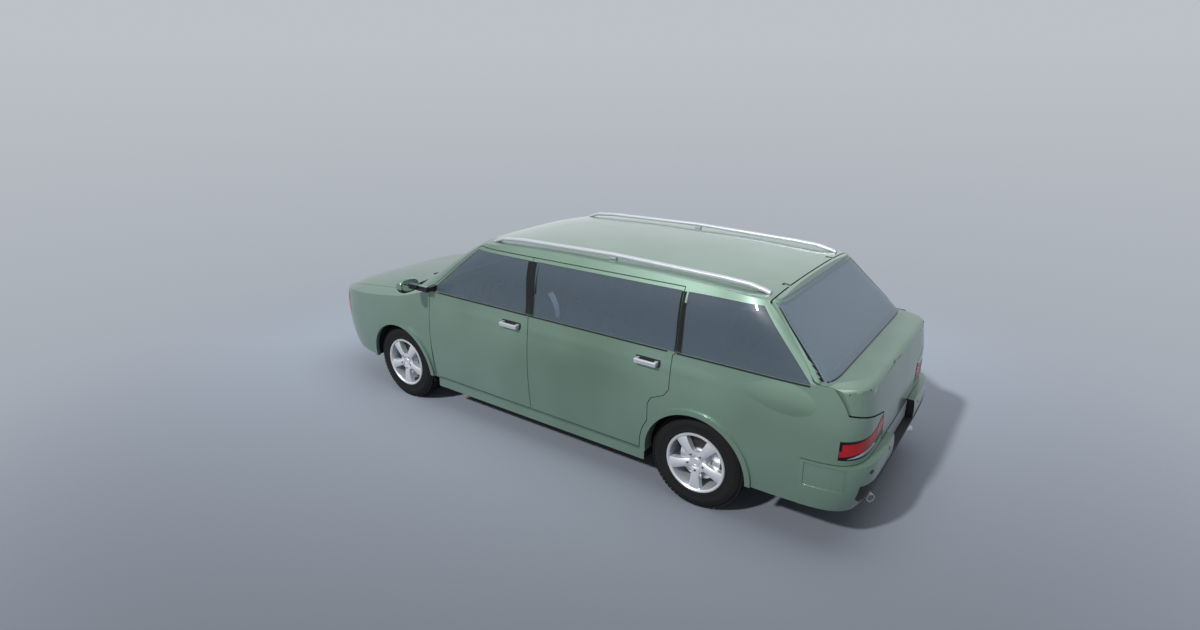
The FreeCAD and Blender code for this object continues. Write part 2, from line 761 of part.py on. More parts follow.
bay = joined([bulkhead, inner_wing, other_side(inner_wing), front_beam, radiator, wing_tie])
bay = cut_both(bay, wheel_room(front_axle_y, front_in))
front_house = wheel_house(front_axle_y, front_in, front_out)
front_house = front_house.cut(block(0, far, floor_front - bulkhead_thickness, far, 0, far))
arm_x0 = ear_x1 + arm_gap
arm_x1 = arm_x0 + arm_thickness
hinge_arm = side_cut([
    (floor_front, bonnet_pin_z - arm_foot_low),
    (floor_front, bonnet_pin_z - arm_foot_high),
    (bonnet_pin_y + bonnet_pin_radius, bonnet_pin_z + arm_gap),
    (bonnet_pin_y - bonnet_pin_radius, bonnet_pin_z - over),
], arm_x0, arm_x1)
arm_boss = drum(arm_eye, arm_x0, arm_x1, bonnet_pin_y, bonnet_pin_z)
arm_pin = drum(bonnet_pin_radius, ear_x0 - notch_gap, arm_x1, bonnet_pin_y, bonnet_pin_z)
hinge_arm = joined([hinge_arm, arm_boss, arm_pin])
bay = joined([bay, front_house, other_side(front_house), hinge_arm, other_side(hinge_arm)])
bay = cut_both(bay, fender).cut(front_bumper)

engine_half = 330.0
engine_front = -1950.0
engine_rear = -1420.0
engine_low = 230.0
engine_top = 800.0
engine_round = 40.0
engine = rounded(block(-engine_half, engine_half, engine_front, engine_rear, engine_low, engine_top), engine_round)

# Seats: cushion, raked back, head rest on a stem, and a stand on the floor
seat_x = 370.0
seat_half = 250.0
seat_front = -420.0
seat_base = 420.0
cushion_length = 500.0
cushion_height = 120.0
cushion_round = 40.0
back_round = 30.0
back_rise = 680.0
back_rake = 200.0
back_thickness = 110.0
back_start = 430.0
back_sink = 20.0
rest_half = 130.0
rest_height = 150.0
rest_thickness = 100.0
rest_gap = 20.0
stem_half = 60.0
stem_thickness = 20.0
stand_inset = 60.0


def raked_back(x0, x1, y, z):
    low = z + cushion_height - back_sink
    return rounded(side_cut([
        (y + back_start, low), (y + back_start + back_thickness + back_sink, low),
        (y + back_start + back_thickness + back_sink + back_rake, z + back_rise),
        (y + back_start + back_sink + back_rake + over, z + back_rise + over),
    ], x0, x1), back_round)


def seat(x0, x1, y, z):
    middle = (x0 + x1) / 2
    cushion = rounded(block(x0, x1, y, y + cushion_length, z, z + cushion_height), cushion_round)
    rest_y = y + back_start + back_rake + 2 * back_sink
    rest_z = z + back_rise + rest_gap
    rest = block(middle - rest_half, middle + rest_half, rest_y, rest_y + rest_thickness, rest_z, rest_z + rest_height)
    rest = rounded(rest, back_round)
    stem_y = rest_y + rest_thickness / 3
    stem = block(middle - stem_half, middle + stem_half, stem_y, stem_y + stem_thickness,
                 rest_z - stem_half, rest_z + rest_gap)
    stand = block(x0 + stand_inset, x1 - stand_inset, y + stand_inset, y + cushion_length - stand_inset,
                  floor_high, z + back_sink)
    return joined([cushion, raked_back(x0, x1, y, z), rest, stem, stand])


front_seat = seat(seat_x - seat_half, seat_x + seat_half, seat_front, seat_base)
bench_half = 590.0
bench_front = 470.0
bench_base = 380.0
bench_top = 540.0
bench_back_half = 560.0
bench_back_top = 1080.0
bench_lean_shares = ((0.7, 0.0), (0.94, 0.0), (1.36, 1.0), (1.16, 1.0))
bench_cushion = block(-bench_half, bench_half, bench_front, bench_front + cushion_length, bench_base, bench_top)
bench_cushion = rounded(bench_cushion, cushion_round)
bench_low = bench_top - 2 * back_sink - back_round
bench_rise = bench_back_top - bench_low
bench_back = [(bench_front + cushion_length * a, bench_low + bench_rise * b) for a, b in bench_lean_shares]
bench_back = rounded(side_cut(bench_back, -bench_back_half, bench_back_half), back_round)
bench_stand = block(-bench_back_half, bench_back_half, bench_front + stand_inset,
                    bench_front + cushion_length - stand_inset, floor_high, bench_base + back_sink * 2)
bench = joined([bench_cushion, bench_back, bench_stand])

# Dashboard with its hood and three dial wells, console and steering column
dash_half = 700.0
dash_low = 700.0
dash_top = 1000.0
dash_rear = -820.0
dash_shares = ((0.0, 0.0), (0.87, 0.0), (1.0, 0.3), (1.0, 0.72), (0.9, 0.93), (0.4, 1.0), (0.0, 0.84))
console_half = 110.0
console_rear = -300.0
console_top = 560.0
console_rise = 720.0
console_step_y = -900.0
column_radius = 22.0
hood_half = 200.0
hood_height = 46.0
hood_y0 = -960.0
hood_wall = 8.0
dial_radius = 42.0
dial_pitch = 96.0
dial_z = 944.0
dial_depth = 12.0
wheel_y = -745.0
wheel_z = 892.0
dash_depth = dash_rear - floor_front
dash_rise = dash_top - dash_low
dash = [(floor_front + dash_depth * a, dash_low + dash_rise * b) for a, b in dash_shares]
dash = side_cut(dash, -dash_half, dash_half)
console = block(-console_half, console_half, floor_front, console_rear, floor_high, console_top)
console_low = console_top - stand_inset
console_neck = block(-console_half, console_half, floor_front, console_step_y, console_low, console_rise)
column_rise = 62.0
column_run = 155.0
wheel_centre = V(seat_x, wheel_y, wheel_z)
column_start = wheel_centre - V(0, column_run, column_rise)
column = rod(column_radius, column_start, wheel_centre)
hood = side_cut([
    (hood_y0, dash_top - hood_height), (dash_rear + hood_wall, dash_top - hood_height),
    (dash_rear + hood_wall, dash_top - hood_wall), (dash_rear - hood_height, dash_top + hood_wall),
    (hood_y0, dash_top - hood_wall),
], seat_x - hood_half, seat_x + hood_half)
dash = joined([dash, console, console_neck, hood])
for i in (-1, 0, 1):
    well_start = V(seat_x + i * dial_pitch, dash_rear - dial_depth, dial_z)
    dash = dash.cut(rod(dial_radius, well_start, well_start + V(0, far, 0)))
dash = joined([dash, column])

# Steering wheel: ring, padded hub and three spokes, square to its column
steer_radius = 185.0
steer_grip = 14.0
hub_pad = 62.0
hub_thickness = 34.0
steer_spoke = 13.0
column_dir = V(0, column_run, column_rise).normalize()
steer_up = V(0, -column_dir.z, column_dir.y)
steer = [Part.makeTorus(steer_radius, steer_grip, wheel_centre, column_dir)]
steer.append(Part.makeCylinder(hub_pad, hub_thickness, wheel_centre - column_dir * (hub_thickness / 2), column_dir))
for direction in (V(1, 0, 0), V(-1, 0, 0), steer_up * -1):
    steer.append(rod(steer_spoke, wheel_centre + direction * (hub_pad / 2), wheel_centre + direction * steer_radius))
steer_bore = rod(column_radius + pin_fit, column_start, wheel_centre + column_dir * pin_fit)
steer = joined(steer).cut(steer_bore)

# Wheels: barrel and lip, a hub with bolt holes, five broad crowned spokes over a brake disc
lip_inset = 12.0
lip_width = 12.0
hub_radius = 72.0
hub_back = 45.0
hub_face = 8.0
bolt_circle = 57.0
bolt_hole = 9.0
bore_radius = 18.0
hat_radius = 80.0
bead_step = 4.0
spoke_shares = ((0.22, 0.36, 0.0), (0.6, 0.42, 1.0), (1.03, 0.6, 0.4))
spoke_half = 70.0
spoke_back = 38.0
spoke_bulge = 10.0
spoke_crown = 9.0
rim_half = tyre_width / 2 - lip_inset


def ring_of(profile):
    return face_of([V(x, 0, r) for x, r in profile]).revolve(V(0, 0, 0), V(1, 0, 0), 360)


def spoke_section(reach, width, bulge):
    r = rim_bore * reach
    half = spoke_half * width
    back = rim_half - spoke_back
    face = rim_half - hub_face + spoke_bulge * bulge
    corners = [V(back, -half, r), V(face, -half, r), V(face, half, r), V(back, half, r)]
    crown = Part.Arc(corners[1], V(face + spoke_crown, 0, r), corners[2]).toShape()
    pairs = ((2, 3), (3, 0), (0, 1))
    return Part.Wire([crown] + [Part.makeLine(corners[i], corners[j]) for i, j in pairs])


def make_rim():
    w = rim_half
    barrel = ring_of([
        (-w, rim_bore), (-w, rim_radius - bead_step), (w, rim_radius - bead_step),
        (w + lip_width / 2, rim_radius + bead_step), (w + lip_width, rim_radius),
        (w + lip_width, rim_radius - bead_step * 2), (w + lip_width / 2, rim_bore),
    ])
    arm = Part.makeLoft([spoke_section(*share) for share in spoke_shares], True, False)
    spokes = [arm.rotated(V(0, 0, 0), V(1, 0, 0), 180 + i * 360 / spoke_count) for i in range(spoke_count)]
    hub = drum(hub_radius, w - hub_back, w - hub_face, 0, 0)
    disc = drum(disc_radius, 0, disc_thickness, 0, 0)
    hat = drum(hat_radius, disc_thickness, w - hub_back, 0, 0)
    rim = joined([barrel, hub] + spokes + [disc, hat])
    for i in range(bolt_count):
        angle = math.pi * (2 * i + 1) / bolt_count
        hole_y = bolt_circle * math.sin(angle)
        hole = drum(bolt_hole, w - hub_face * 3, w + over * 2, hole_y, bolt_circle * math.cos(angle))
        rim = rim.cut(hole)
    return rim.cut(drum(bore_radius, -door_depth, w - hub_face * 3, 0, 0))


tyre_profile_shares = ((1.0, 0.74), (0.98, 0.87), (0.77, 0.973), (0.49, 1.0))


def make_tyre():
    half = [(rim_half, rim_radius - bead_step)]
    half += [(tyre_width / 2 * a, tyre_radius * b) for a, b in tyre_profile_shares]
    return ring_of([(-x, r) for x, r in half] + list(reversed(half)))


tyre = make_tyre()
rim = make_rim()


def placed(shape, left, axle_y):
    turned = shape if left else other_side(shape)
    return turned.translated(V(wheel_centre_x if left else -wheel_centre_x, axle_y, axle_z))


# Knuckles, lower arms, coil-over struts and rear axle
stub_radius = bore_radius - pin_fit
stub_reach = 58.0
knuckle_back = 80.0
knuckle_radius = 62.0
brake_gap = 6.0
kingpin_x = 690.0
kingpin_radius = 20.0
joint_low = 196.0
arm_half = 32.0
arm_inner = 300.0
arm_outer = 715.0
arm_low = 172.0
arm_high = 189.7
ball_radius = 24.0
subframe_half = 340.0
subframe_front = 160.0
subframe_rear = 330.0
subframe_top = 230.0
strut_x = 548.0
strut_radius = 15.0
spring_radius = 46.0
spring_low = 420.0
spring_high = 620.0
strut_top = liner_radius + axle_z - bead_step


def stub(inner_x, boss_radius):
    boss = drum(boss_radius, inner_x, wheel_centre_x - brake_gap, 0, axle_z)
    return boss.fuse(drum(stub_radius, wheel_centre_x - brake_gap - over, wheel_centre_x + stub_reach, 0, axle_z))


knuckle = joined([
    stub(wheel_centre_x - knuckle_back, knuckle_radius),
    rod(kingpin_radius, V(kingpin_x, 0, joint_low), V(kingpin_x, 0, axle_z)),
])
lower_arm = joined([
    block(arm_inner, arm_outer, -arm_half, arm_half, arm_low, arm_high),
    post(ball_radius, kingpin_x, 0, arm_low, joint_low - seat_gap),
    post(strut_radius, strut_x, 0, arm_high - bead_step, strut_top),
    post(spring_radius, strut_x, 0, spring_low, spring_high),
])
subframe = block(-subframe_half, subframe_half, -subframe_front, subframe_front, arm_low, subframe_top)
subframe = subframe.fuse(block(-subframe_half, subframe_half, -subframe_front, subframe_rear, arm_low, floor_low))
suspension = joined([subframe, lower_arm, other_side(lower_arm)]).translated(V(0, front_axle_y, 0))

hub_boss = 60.0
beam_radius = 45.0
rear_arm_x0 = 520.0
rear_arm_x1 = 560.0
rear_arm_low = 255.0
rear_arm_high = 320.0
spring_x = 480.0
rear_spring = 42.0
seat_radius = 55.0
arm_front = riser_y + load_thickness - rear_axle_y
rear_side = joined([
    stub(rear_in - over, hub_boss),
    block(rear_arm_x0, rear_arm_x1, arm_front, load_thickness, rear_arm_low, rear_arm_high),
    drum(beam_radius, -over, rear_in, 0, axle_z),
    post(rear_spring, spring_x, 0, axle_z, load_low),
    post(seat_radius, spring_x, 0, axle_z, axle_z + seat_radius),
])
rear_axle = joined([rear_side, other_side(rear_side)]).translated(V(0, rear_axle_y, 0))

# Exhaust with its silencer, hangers and two tips, and fuel tank
pipe_radius = 28.0
pipe_z = 165.0
pipe_front = -1000.0
pipe_bend_y = 1240.0
pipe_rise_y = 1800.0
pipe_rise_z = 300.0
silencer_half = 260.0
silencer_length = 300.0
silencer_low = 240.0
silencer_high = 380.0
silencer_round = 30.0
hanger_x = 200.0
hanger_y = 1900.0
hanger_radius = 8.0
tank_x0 = 60.0
tank_x1 = 560.0
tank_front = 420.0
tank_rear = 960.0
tank_low = 130.0
tank_round = 20.0
silencer_rear = pipe_rise_y - tank_round + silencer_length
silencer = block(-silencer_half, silencer_half, silencer_rear - silencer_length, silencer_rear,
                 silencer_low, silencer_high)
silencer = rounded(silencer, silencer_round)
exhaust = [
    rod(pipe_radius, V(0, pipe_front, pipe_z), V(0, pipe_bend_y, pipe_z)),
    Part.makeSphere(pipe_radius, V(0, pipe_bend_y, pipe_z)),
    rod(pipe_radius, V(0, pipe_bend_y, pipe_z), V(0, pipe_rise_y, pipe_rise_z)),
    silencer,
]
for sign in (-1, 1):
    exhaust.append(post(hanger_radius, sign * hanger_x, hanger_y, silencer_high - over, load_low))
    tip_from = V(sign * exhaust_in_x, exhaust_box_y, exhaust_z)
    exhaust.append(rod(tip_radius, tip_from, V(sign * exhaust_out_x, exhaust_end_y, exhaust_z)))
exhaust = joined(exhaust)
tip_bore = rod(tip_radius - bead_step, tip_end - (tip_end - tip_start).normalize() * rebate * 2, tip_beyond)
exhaust = cut_both(exhaust, tip_bore)
tank = rounded(block(tank_x0, tank_x1, tank_front, tank_rear, tank_low, floor_low), tank_round)

# Mirrors: a shell of oval sections with a flat glass face, on an arm from the window's corner
mirror_in = 892.0
mirror_out = 1060.0
mirror_y = -1070.0
mirror_z = 1095.0
mirror_half_y = 54.0
mirror_half_z = 56.0
mirror_glass_y = -1046.0
mirror_shares = ((0.0, 0.5), (0.15, 0.85), (0.5, 1.0), (0.85, 0.92), (1.0, 0.62))
arm_start_x = 790.0
arm_y0 = -985.0
arm_y1 = -940.0
arm_z0 = 1037.0
arm_z1 = 1072.0
arm_turn_x = 880.0


def oval(x, share):
    centre = V(x, mirror_y, mirror_z)
    ellipse = Part.Ellipse(centre, mirror_half_z * share, mirror_half_y * share)
    ellipse.rotate(FreeCAD.Placement(centre, FreeCAD.Rotation(V(0, 1, 0), 90)))
    return Part.Wire([ellipse.toShape()])


mirror_length = mirror_out - mirror_in
mirror_shell = Part.makeLoft([oval(mirror_in + mirror_length * s, t) for s, t in mirror_shares], True, False)
mirror_shell = mirror_shell.cut(block(0, far, mirror_glass_y, far, 0, far))
mirror_arm = block(arm_start_x, arm_turn_x + load_thickness, arm_y0, arm_y1, arm_z0, arm_z1)
mirror_neck = block(arm_turn_x, arm_turn_x + rebate, mirror_y, arm_y1, arm_z0 + half_gap, arm_z1 + over)
mirror = joined([mirror_shell, mirror_arm, mirror_neck]).cut(outer)

# Number plates, door handles with a finger gap, and wipers
front_plate_low = 500.0
plate_face = nose_y - seat_gap
front_plate = block(-plate_half, plate_half, plate_face - plate_thickness, plate_face,
                    front_plate_low, front_plate_low + plate_height)
rear_plate = block(-plate_half, plate_half, well_floor, well_floor + plate_thickness,
                   plate_low, plate_low + plate_height)
plates = Part.makeCompound([front_plate, rear_plate])

handle_length = 160.0
handle_low = 922.0
handle_height = 30.0
handle_out = 895.0
handle_grip = 14.0
handle_end = 22.0
handle_round = 5.0
handle_starts = (-197.0, 954.0)
handles = []
for y0 in handle_starts:
    y1 = y0 + handle_length
    grip = rounded(block(arm_start_x, handle_out, y0, y1, handle_low, handle_low + handle_height), handle_round)
    gap = block(0, handle_out - handle_grip, y0 + handle_end, y1 - handle_end, 0, far)
    handles.append(grip.cut(outer).cut(gap))

wiper_starts = (-560.0, 20.0)
wiper_reach = 520.0
wiper_y = -1335.0
wiper_tip_y = -1270.0
wiper_low = 950.0
wiper_z = 1012.0
wiper_tip_z = 1052.0
wiper_radius = 5.0
spindle_radius = 9.0
wiper_parts = []
for x0 in wiper_starts:
    wiper_arm = rod(wiper_radius, V(x0, wiper_y, wiper_z), V(x0 + wiper_reach, wiper_tip_y, wiper_tip_z))
    spindle = post(spindle_radius, x0, wiper_y, wiper_low, wiper_z + wiper_radius)
    wiper_parts.append(joined([wiper_arm, spindle]).cut(nose_back))

# Save every piece under its node name
save("door_seals", Part.makeCompound([front_seal, rear_seal, other_side(front_seal), other_side(rear_seal)]))
save("floor_pan", pan)
save("engine_bay", bay)
save("engine_block", engine)
save("side_wall_left", wall)
save("side_wall_right", other_side(wall))
save("roof_panel", roof)
save("front_fenders", both_sides(fender))
save("cowl", cowl)
save("bonnet", bonnet)
save("front_bumper", front_bumper)
save("grille", grille)
save("headlamps", both_sides(headlamp))
save("tail_lamps", both_sides(tail_lamp))
save("rear_bumper", rear_bumper)
save("fixed_glass", Part.makeCompound([screen, quarter_pane, other_side(quarter_pane)]))
save("roof_rails", both_sides(rail))
save("tailgate", tailgate)
save("tailgate_glass", tail_pane)
save("front_seats", both_sides(front_seat))
save("rear_bench", bench)
save("dashboard", dash)
save("steering_wheel", steer)
save("front_suspension", suspension)
save("rear_axle", rear_axle)
save("exhaust", exhaust)
save("fuel_tank", tank)
save("number_plates", plates)
save("wipers", Part.makeCompound(wiper_parts))
for side, flip in (("left", False), ("right", True)):
    turn = other_side if flip else (lambda s: s)
    save("front_door_" + side, turn(front_door))
    save("front_door_glass_" + side, turn(front_pane))
    save("rear_door_" + side, turn(rear_door))
    save("rear_door_glass_" + side, turn(rear_pane))
    save("front_handle_" + side, turn(handles[0]))
    save("rear_handle_" + side, turn(handles[1]))
    save("mirror_" + side, turn(mirror))
    save("knuckle_" + side, turn(knuckle).translated(V(0, front_axle_y, 0)))
    for place, y in (("front", front_axle_y), ("rear", rear_axle_y)):
        save(place + "_tyre_" + side, placed(tyre, not flip, y))
        save(place + "_rim_" + side, placed(rim, not flip, y))
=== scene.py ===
# %% [markdown]
# # A station wagon, dressed for a portrait
# The construction of this car is already made: its panels, glass, wheels and hinges come in as a fixed
# frame of solids. This notebook gives them their finishes, adds the trim that is too thin for the
# construction, models the cloth seats as soft forms, and puts a plain studio around the car.

# %% Load the frame and keep its box
import math

import bmesh
import bpy
from mathutils import Matrix, Vector
from mathutils.bvhtree import BVHTree


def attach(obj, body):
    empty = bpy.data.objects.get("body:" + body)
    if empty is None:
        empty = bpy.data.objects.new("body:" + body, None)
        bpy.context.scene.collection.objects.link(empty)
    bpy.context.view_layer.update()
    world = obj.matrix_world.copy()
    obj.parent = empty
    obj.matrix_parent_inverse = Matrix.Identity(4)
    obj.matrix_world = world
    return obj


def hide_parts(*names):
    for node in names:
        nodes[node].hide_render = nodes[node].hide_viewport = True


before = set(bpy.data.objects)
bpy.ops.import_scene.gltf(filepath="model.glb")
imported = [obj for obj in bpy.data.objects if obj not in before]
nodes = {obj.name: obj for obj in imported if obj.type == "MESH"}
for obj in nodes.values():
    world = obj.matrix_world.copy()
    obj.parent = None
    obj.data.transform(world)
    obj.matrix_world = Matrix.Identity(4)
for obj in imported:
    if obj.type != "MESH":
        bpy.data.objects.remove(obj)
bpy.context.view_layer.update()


# %% [markdown]
# Colours are picked the way a paint maker would quote them, as sRGB hex values. Shaders work with
# linear light, so one function turns the hex value into linear numbers. A second small function adds a
# shader node with its settings and its links, which keeps every material below short enough to read.

# %% Helpers for colours and shader nodes
MM = 0.001


def linear(hex_code):
    channels = [int(hex_code[i:i + 2], 16) / 255 for i in (0, 2, 4)]
    return [c / 12.92 if c <= 0.04045 else ((c + 0.055) / 1.055) ** 2.4 for c in channels]


def rgba(hex_code):
    return (*linear(hex_code), 1.0)


def add(tree, kind, settings=None, into=None, **inputs):
    node = tree.nodes.new(kind)
    for name, value in (settings or {}).items():
        setattr(node, name, value)
    for name, value in inputs.items():
        numbered = name[0] == "i" and name[1:].isdigit()
        socket = node.inputs[int(name[1:])] if numbered else node.inputs[name.replace("_", " ")]
        if isinstance(value, bpy.types.Node):
            value = value.outputs[0]
        if isinstance(value, bpy.types.NodeSocket):
            tree.links.new(value, socket)
        else:
            socket.default_value = value
    for name, socket in (into or {}).items():
        tree.links.new(node.outputs[name], socket)
    return node


def new_material(name, **settings):
    material = bpy.data.materials.new(name)
    material.use_nodes = True
    shader = material.node_tree.nodes["Principled BSDF"]
    for key, value in settings.items():
        shader.inputs[key.replace("_", " ")].default_value = value
    return material, material.node_tree, shader


def grained_with(tree, shader, grain_mm, strength, depth_mm):
    place = add(tree, "ShaderNodeTexCoord").outputs["Object"]
    grain = add(tree, "ShaderNodeTexNoise", Vector=place, Scale=1 / (grain_mm * MM), Detail=3.0)
    add(tree, "ShaderNodeBump", None, {"Normal": shader.inputs["Normal"]}, Height=grain, Strength=strength,
        Distance=depth_mm * MM)


def worn_between(tree, socket, patch_mm, low, high):
    place = add(tree, "ShaderNodeTexCoord").outputs["Object"]
    patches = add(tree, "ShaderNodeTexNoise", Vector=place, Scale=1 / (patch_mm * MM), Detail=2.0)
    if isinstance(low, float):
        add(tree, "ShaderNodeMapRange", None, {0: socket}, Value=patches, i1=0.2, i2=0.8, i3=low, i4=high)
        return
    share = add(tree, "ShaderNodeMapRange", Value=patches, i1=0.3, i2=0.7)
    add(tree, "ShaderNodeMix", {"data_type": "RGBA"}, {2: socket}, i0=share, i6=low, i7=high)


# %% [markdown]
# ## The paint
# Car paint is a stack: a primer, a coloured base coat with small aluminium flakes, and a thick clear
# lacquer over it. The flakes make the colour brighter where the surface turns to the light, and the
# lacquer gives the reflection. So the base is partly metallic and fairly rough, a fine flake pattern
# tilts its normal a little, and the coat on top is satin, as paint is after years of washing. Real
# flakes are 0.05 mm wide, too fine to show, so they are drawn 1.5 mm wide and weak.
#
# The same panels carry the cabin's trim on their inner faces. A panel's own normal says which way a
# face looks, so one mask picks the faces that look into the cabin and gives them grained plastic.

# %% Metallic paint with an inner trim
PAINT, PAINT_DARK, TRIM = "7C9788", "66806F", "2E2F31"
FLAKE_MM, FLAKE_DEPTH_MM, PATCH_MM = 1.5, 0.05, 900.0
LOOKS_INWARD = -0.3


def inward_mask(tree, out_axis):
    where = add(tree, "ShaderNodeTexCoord")
    normal = add(tree, "ShaderNodeSeparateXYZ", Vector=where.outputs["Normal"])
    value = normal.outputs["Z" if out_axis == "up" else "Y"]
    if out_axis == "side":
        place = add(tree, "ShaderNodeSeparateXYZ", Vector=where.outputs["Object"])
        sign = add(tree, "ShaderNodeMath", {"operation": "SIGN"}, i0=place.outputs["X"])
        value = add(tree, "ShaderNodeMath", {"operation": "MULTIPLY"}, i0=normal.outputs["X"], i1=sign)
    return add(tree, "ShaderNodeMath", {"operation": "LESS_THAN"}, i0=value, i1=LOOKS_INWARD)


def make_paint(name, out_axis=None):
    material, tree, shader = new_material(name, Metallic=0.45, Roughness=0.42, IOR=1.5,
                                          Coat_Weight=0.85, Coat_Roughness=0.12, Coat_IOR=1.5)
    place = add(tree, "ShaderNodeTexCoord").outputs["Object"]
    flakes = add(tree, "ShaderNodeTexVoronoi", Vector=place, Scale=1 / (FLAKE_MM * MM))
    add(tree, "ShaderNodeBump", None, {"Normal": shader.inputs["Normal"]}, Height=flakes.outputs["Color"],
        Strength=0.05, Distance=FLAKE_DEPTH_MM * MM)
    worn_between(tree, shader.inputs["Base Color"], PATCH_MM, rgba(PAINT_DARK), rgba(PAINT))
    if out_axis:
        trim = add(tree, "ShaderNodeBsdfPrincipled", Base_Color=rgba(TRIM), Roughness=0.62)
        grained_with(tree, trim, 1.6, 0.35, 0.15)
        add(tree, "ShaderNodeMixShader", None, {"Shader": tree.nodes["Material Output"].inputs["Surface"]},
            i0=inward_mask(tree, out_axis), i1=shader, i2=trim)
    return material


body_paint = make_paint("Sage_metallic_paint")
side_paint = make_paint("Sage_paint_side_with_trim", "side")
roof_paint = make_paint("Sage_paint_roof_with_headlining", "up")
tail_paint = make_paint("Sage_paint_tailgate_with_trim", "rear")


# %% [markdown]
# ## Plastics, rubber and glass
# Unpainted bumpers, cowl and pillar covers are moulded polypropylene with a fine grain, which scatters
# light softly. Gloss pillar covers are the same plastic with a polished mould. Tyre rubber is a very
# dark grey with a dusty sheen, never pure black. The windows are 5 mm toughened glass, body-tinted
# grey: real panes with two faces, so the shader only needs the tint and the glass index of 1.5. A lit
# grey-blue layer is mixed over them as painted reflection, which is why the cabin shows only faintly.
# On the rear window that painted reflection is paler and stronger.

# %% Moulded plastics, rubber and glass
ROUGHNESS_SPREAD = 0.04


def make_grained(name, colour, roughness, grain_mm, strength):
    material, tree, shader = new_material(name, Base_Color=rgba(colour), IOR=1.49)
    grained_with(tree, shader, grain_mm, strength, 0.15)
    worn_between(tree, shader.inputs["Roughness"], 180.0, roughness - ROUGHNESS_SPREAD,
                 roughness + ROUGHNESS_SPREAD)
    return material


grained_black = make_grained("Grained_polypropylene_black", "17181A", 0.55, 1.2, 0.4)
gloss_black = make_grained("Gloss_black_acrylic", "07080A", 0.16, 40.0, 0.02)
dash_plastic = make_grained("Soft_touch_dash_foam", "222325", 0.68, 1.8, 0.5)
pale_plastic = make_grained("Pale_grey_moulded_ABS", "9DA2A6", 0.45, 1.4, 0.25)
underseal = make_grained("Underbody_wax_coating", "141414", 0.72, 14.0, 0.6)
seal_rubber = make_grained("Soft_black_seal_rubber", "101112", 0.75, 2.0, 0.2)
dial_white = make_grained("Printed_pale_dial_face", "D8DCE0", 0.5, 10.0, 0.03)
# Opaque grey for the rear glass border: painted reflection of glass over a dark primer.
painted_glass_reflection = make_grained("Opaque_grey_painted_glass_reflection", "63717C", 0.2, 260.0, 0.02)
tread_rubber = make_grained("Tyre_tread_rubber", "1B1B1D", 0.85, 3.0, 0.3)
tread_rubber.node_tree.nodes["Principled BSDF"].inputs["Specular IOR Level"].default_value = 0.25


def make_glass(name, tint, roughness=0.0, reflection_colour=None, reflection_share=0.0):
    material, tree, shader = new_material(name, Base_Color=rgba(tint), Roughness=roughness, IOR=1.5,
                                          Transmission_Weight=1.0)
    grained_with(tree, shader, 260.0, 0.03, 0.4)
    # A lit grey-blue layer mixed over the glass: painted reflection that pales the panes and hides the cabin.
    if reflection_colour:
        painted_reflection_layer = add(tree, "ShaderNodeBsdfPrincipled", Base_Color=rgba(reflection_colour), Roughness=0.3, IOR=1.5)
        add(tree, "ShaderNodeMixShader", None, {"Shader": tree.nodes["Material Output"].inputs["Surface"]},
            i0=reflection_share, i1=shader, i2=painted_reflection_layer)
    return material


# Both panes get a share of painted reflection; the rear pane's share is paler and larger.
window_glass = make_glass("Grey_tinted_toughened_glass", "8E9CA3", reflection_colour="7F93A4", reflection_share=0.25)
rear_glass = make_glass("Rear_window_glass_with_painted_reflection", "8E9CA3", reflection_colour="8FA3B2", reflection_share=0.45)
clear_lens = make_glass("Clear_polycarbonate_lens", "F2F6F8", 0.01)


# %% [markdown]
# ## Metals
# The rims are cast aluminium under silver paint and lacquer, and the hub caps and the ends of the
# exhaust tips share that silver. The roof rails are satin anodised aluminium. The rings around the
# mirrors and the projectors are polished stainless steel, chassis parts and wheel bolts are steel under
# black paint, and the calipers are bare cast iron.

# %% Metals
def make_metal(name, colour, metallic, roughness, noise_mm, spread, coat=0.0):
    material, tree, shader = new_material(name, Base_Color=rgba(colour), Metallic=metallic, Coat_Weight=coat,
                                          Coat_Roughness=0.04)
    worn_between(tree, shader.inputs["Roughness"], noise_mm, roughness - spread, roughness + spread)
    grained_with(tree, shader, noise_mm, 0.05, 0.1)
    return material


rim_silver = make_metal("Silver_painted_cast_aluminium", "DADDE2", 0.45, 0.34, 2.0, 0.05, 0.5)
rail_metal = make_metal("Satin_anodised_aluminium", "D3D6DD", 0.6, 0.36, 3.0, 0.06)
bright_steel = make_metal("Polished_stainless_steel", "D8D6D2", 1.0, 0.14, 5.0, 0.05)
black_steel = make_metal("Black_painted_steel", "1B1B1C", 0.3, 0.5, 9.0, 0.08)
cast_iron = make_metal("Rough_cast_iron", "4B4946", 0.8, 0.55, 6.0, 0.12)
chrome = make_metal("Chrome_plated_brass", "E8E9EB", 1.0, 0.07, 8.0, 0.02)
exhaust_steel = make_metal("Heat_dulled_stainless_steel", "8C8781", 1.0, 0.38, 25.0, 0.1)


# %% [markdown]
# ## Finishes on the frame
# Each solid of the frame keeps its shape and only gets a finish. A short table says which finish goes to
# which group of names, and the loop prints any name that was left out. A second table says which slot
# each finish fills on the pieces that are added below.

# %% Give every solid its finish
FINISHES = {
    side_paint: ("side_wall", "front_door", "rear_door", "front_fenders"),
    roof_paint: ("roof_panel", "bonnet"), tail_paint: ("tailgate",),
    body_paint: ("front_bumper", "rear_bumper", "mirror"),
    grained_black: ("cowl", "fuel_tank"), gloss_black: ("grille", "tail_lamps"), clear_lens: ("headlamps",),
    pale_plastic: ("number_plates",), rear_glass: ("tailgate_glass",),
    window_glass: ("fixed_glass", "front_door_glass", "rear_door_glass"),
    rail_metal: ("roof_rails", "front_handle", "rear_handle"), underseal: ("floor_pan", "engine_bay"),
    dash_plastic: ("dashboard", "steering_wheel", "front_seats", "rear_bench"),
    black_steel: ("wipers", "front_suspension", "rear_axle"), cast_iron: ("engine_block", "knuckle"),
    exhaust_steel: ("exhaust",), seal_rubber: ("door_seals",), tread_rubber: ("front_tyre", "rear_tyre"),
    rim_silver: ("front_rim", "rear_rim"),
}
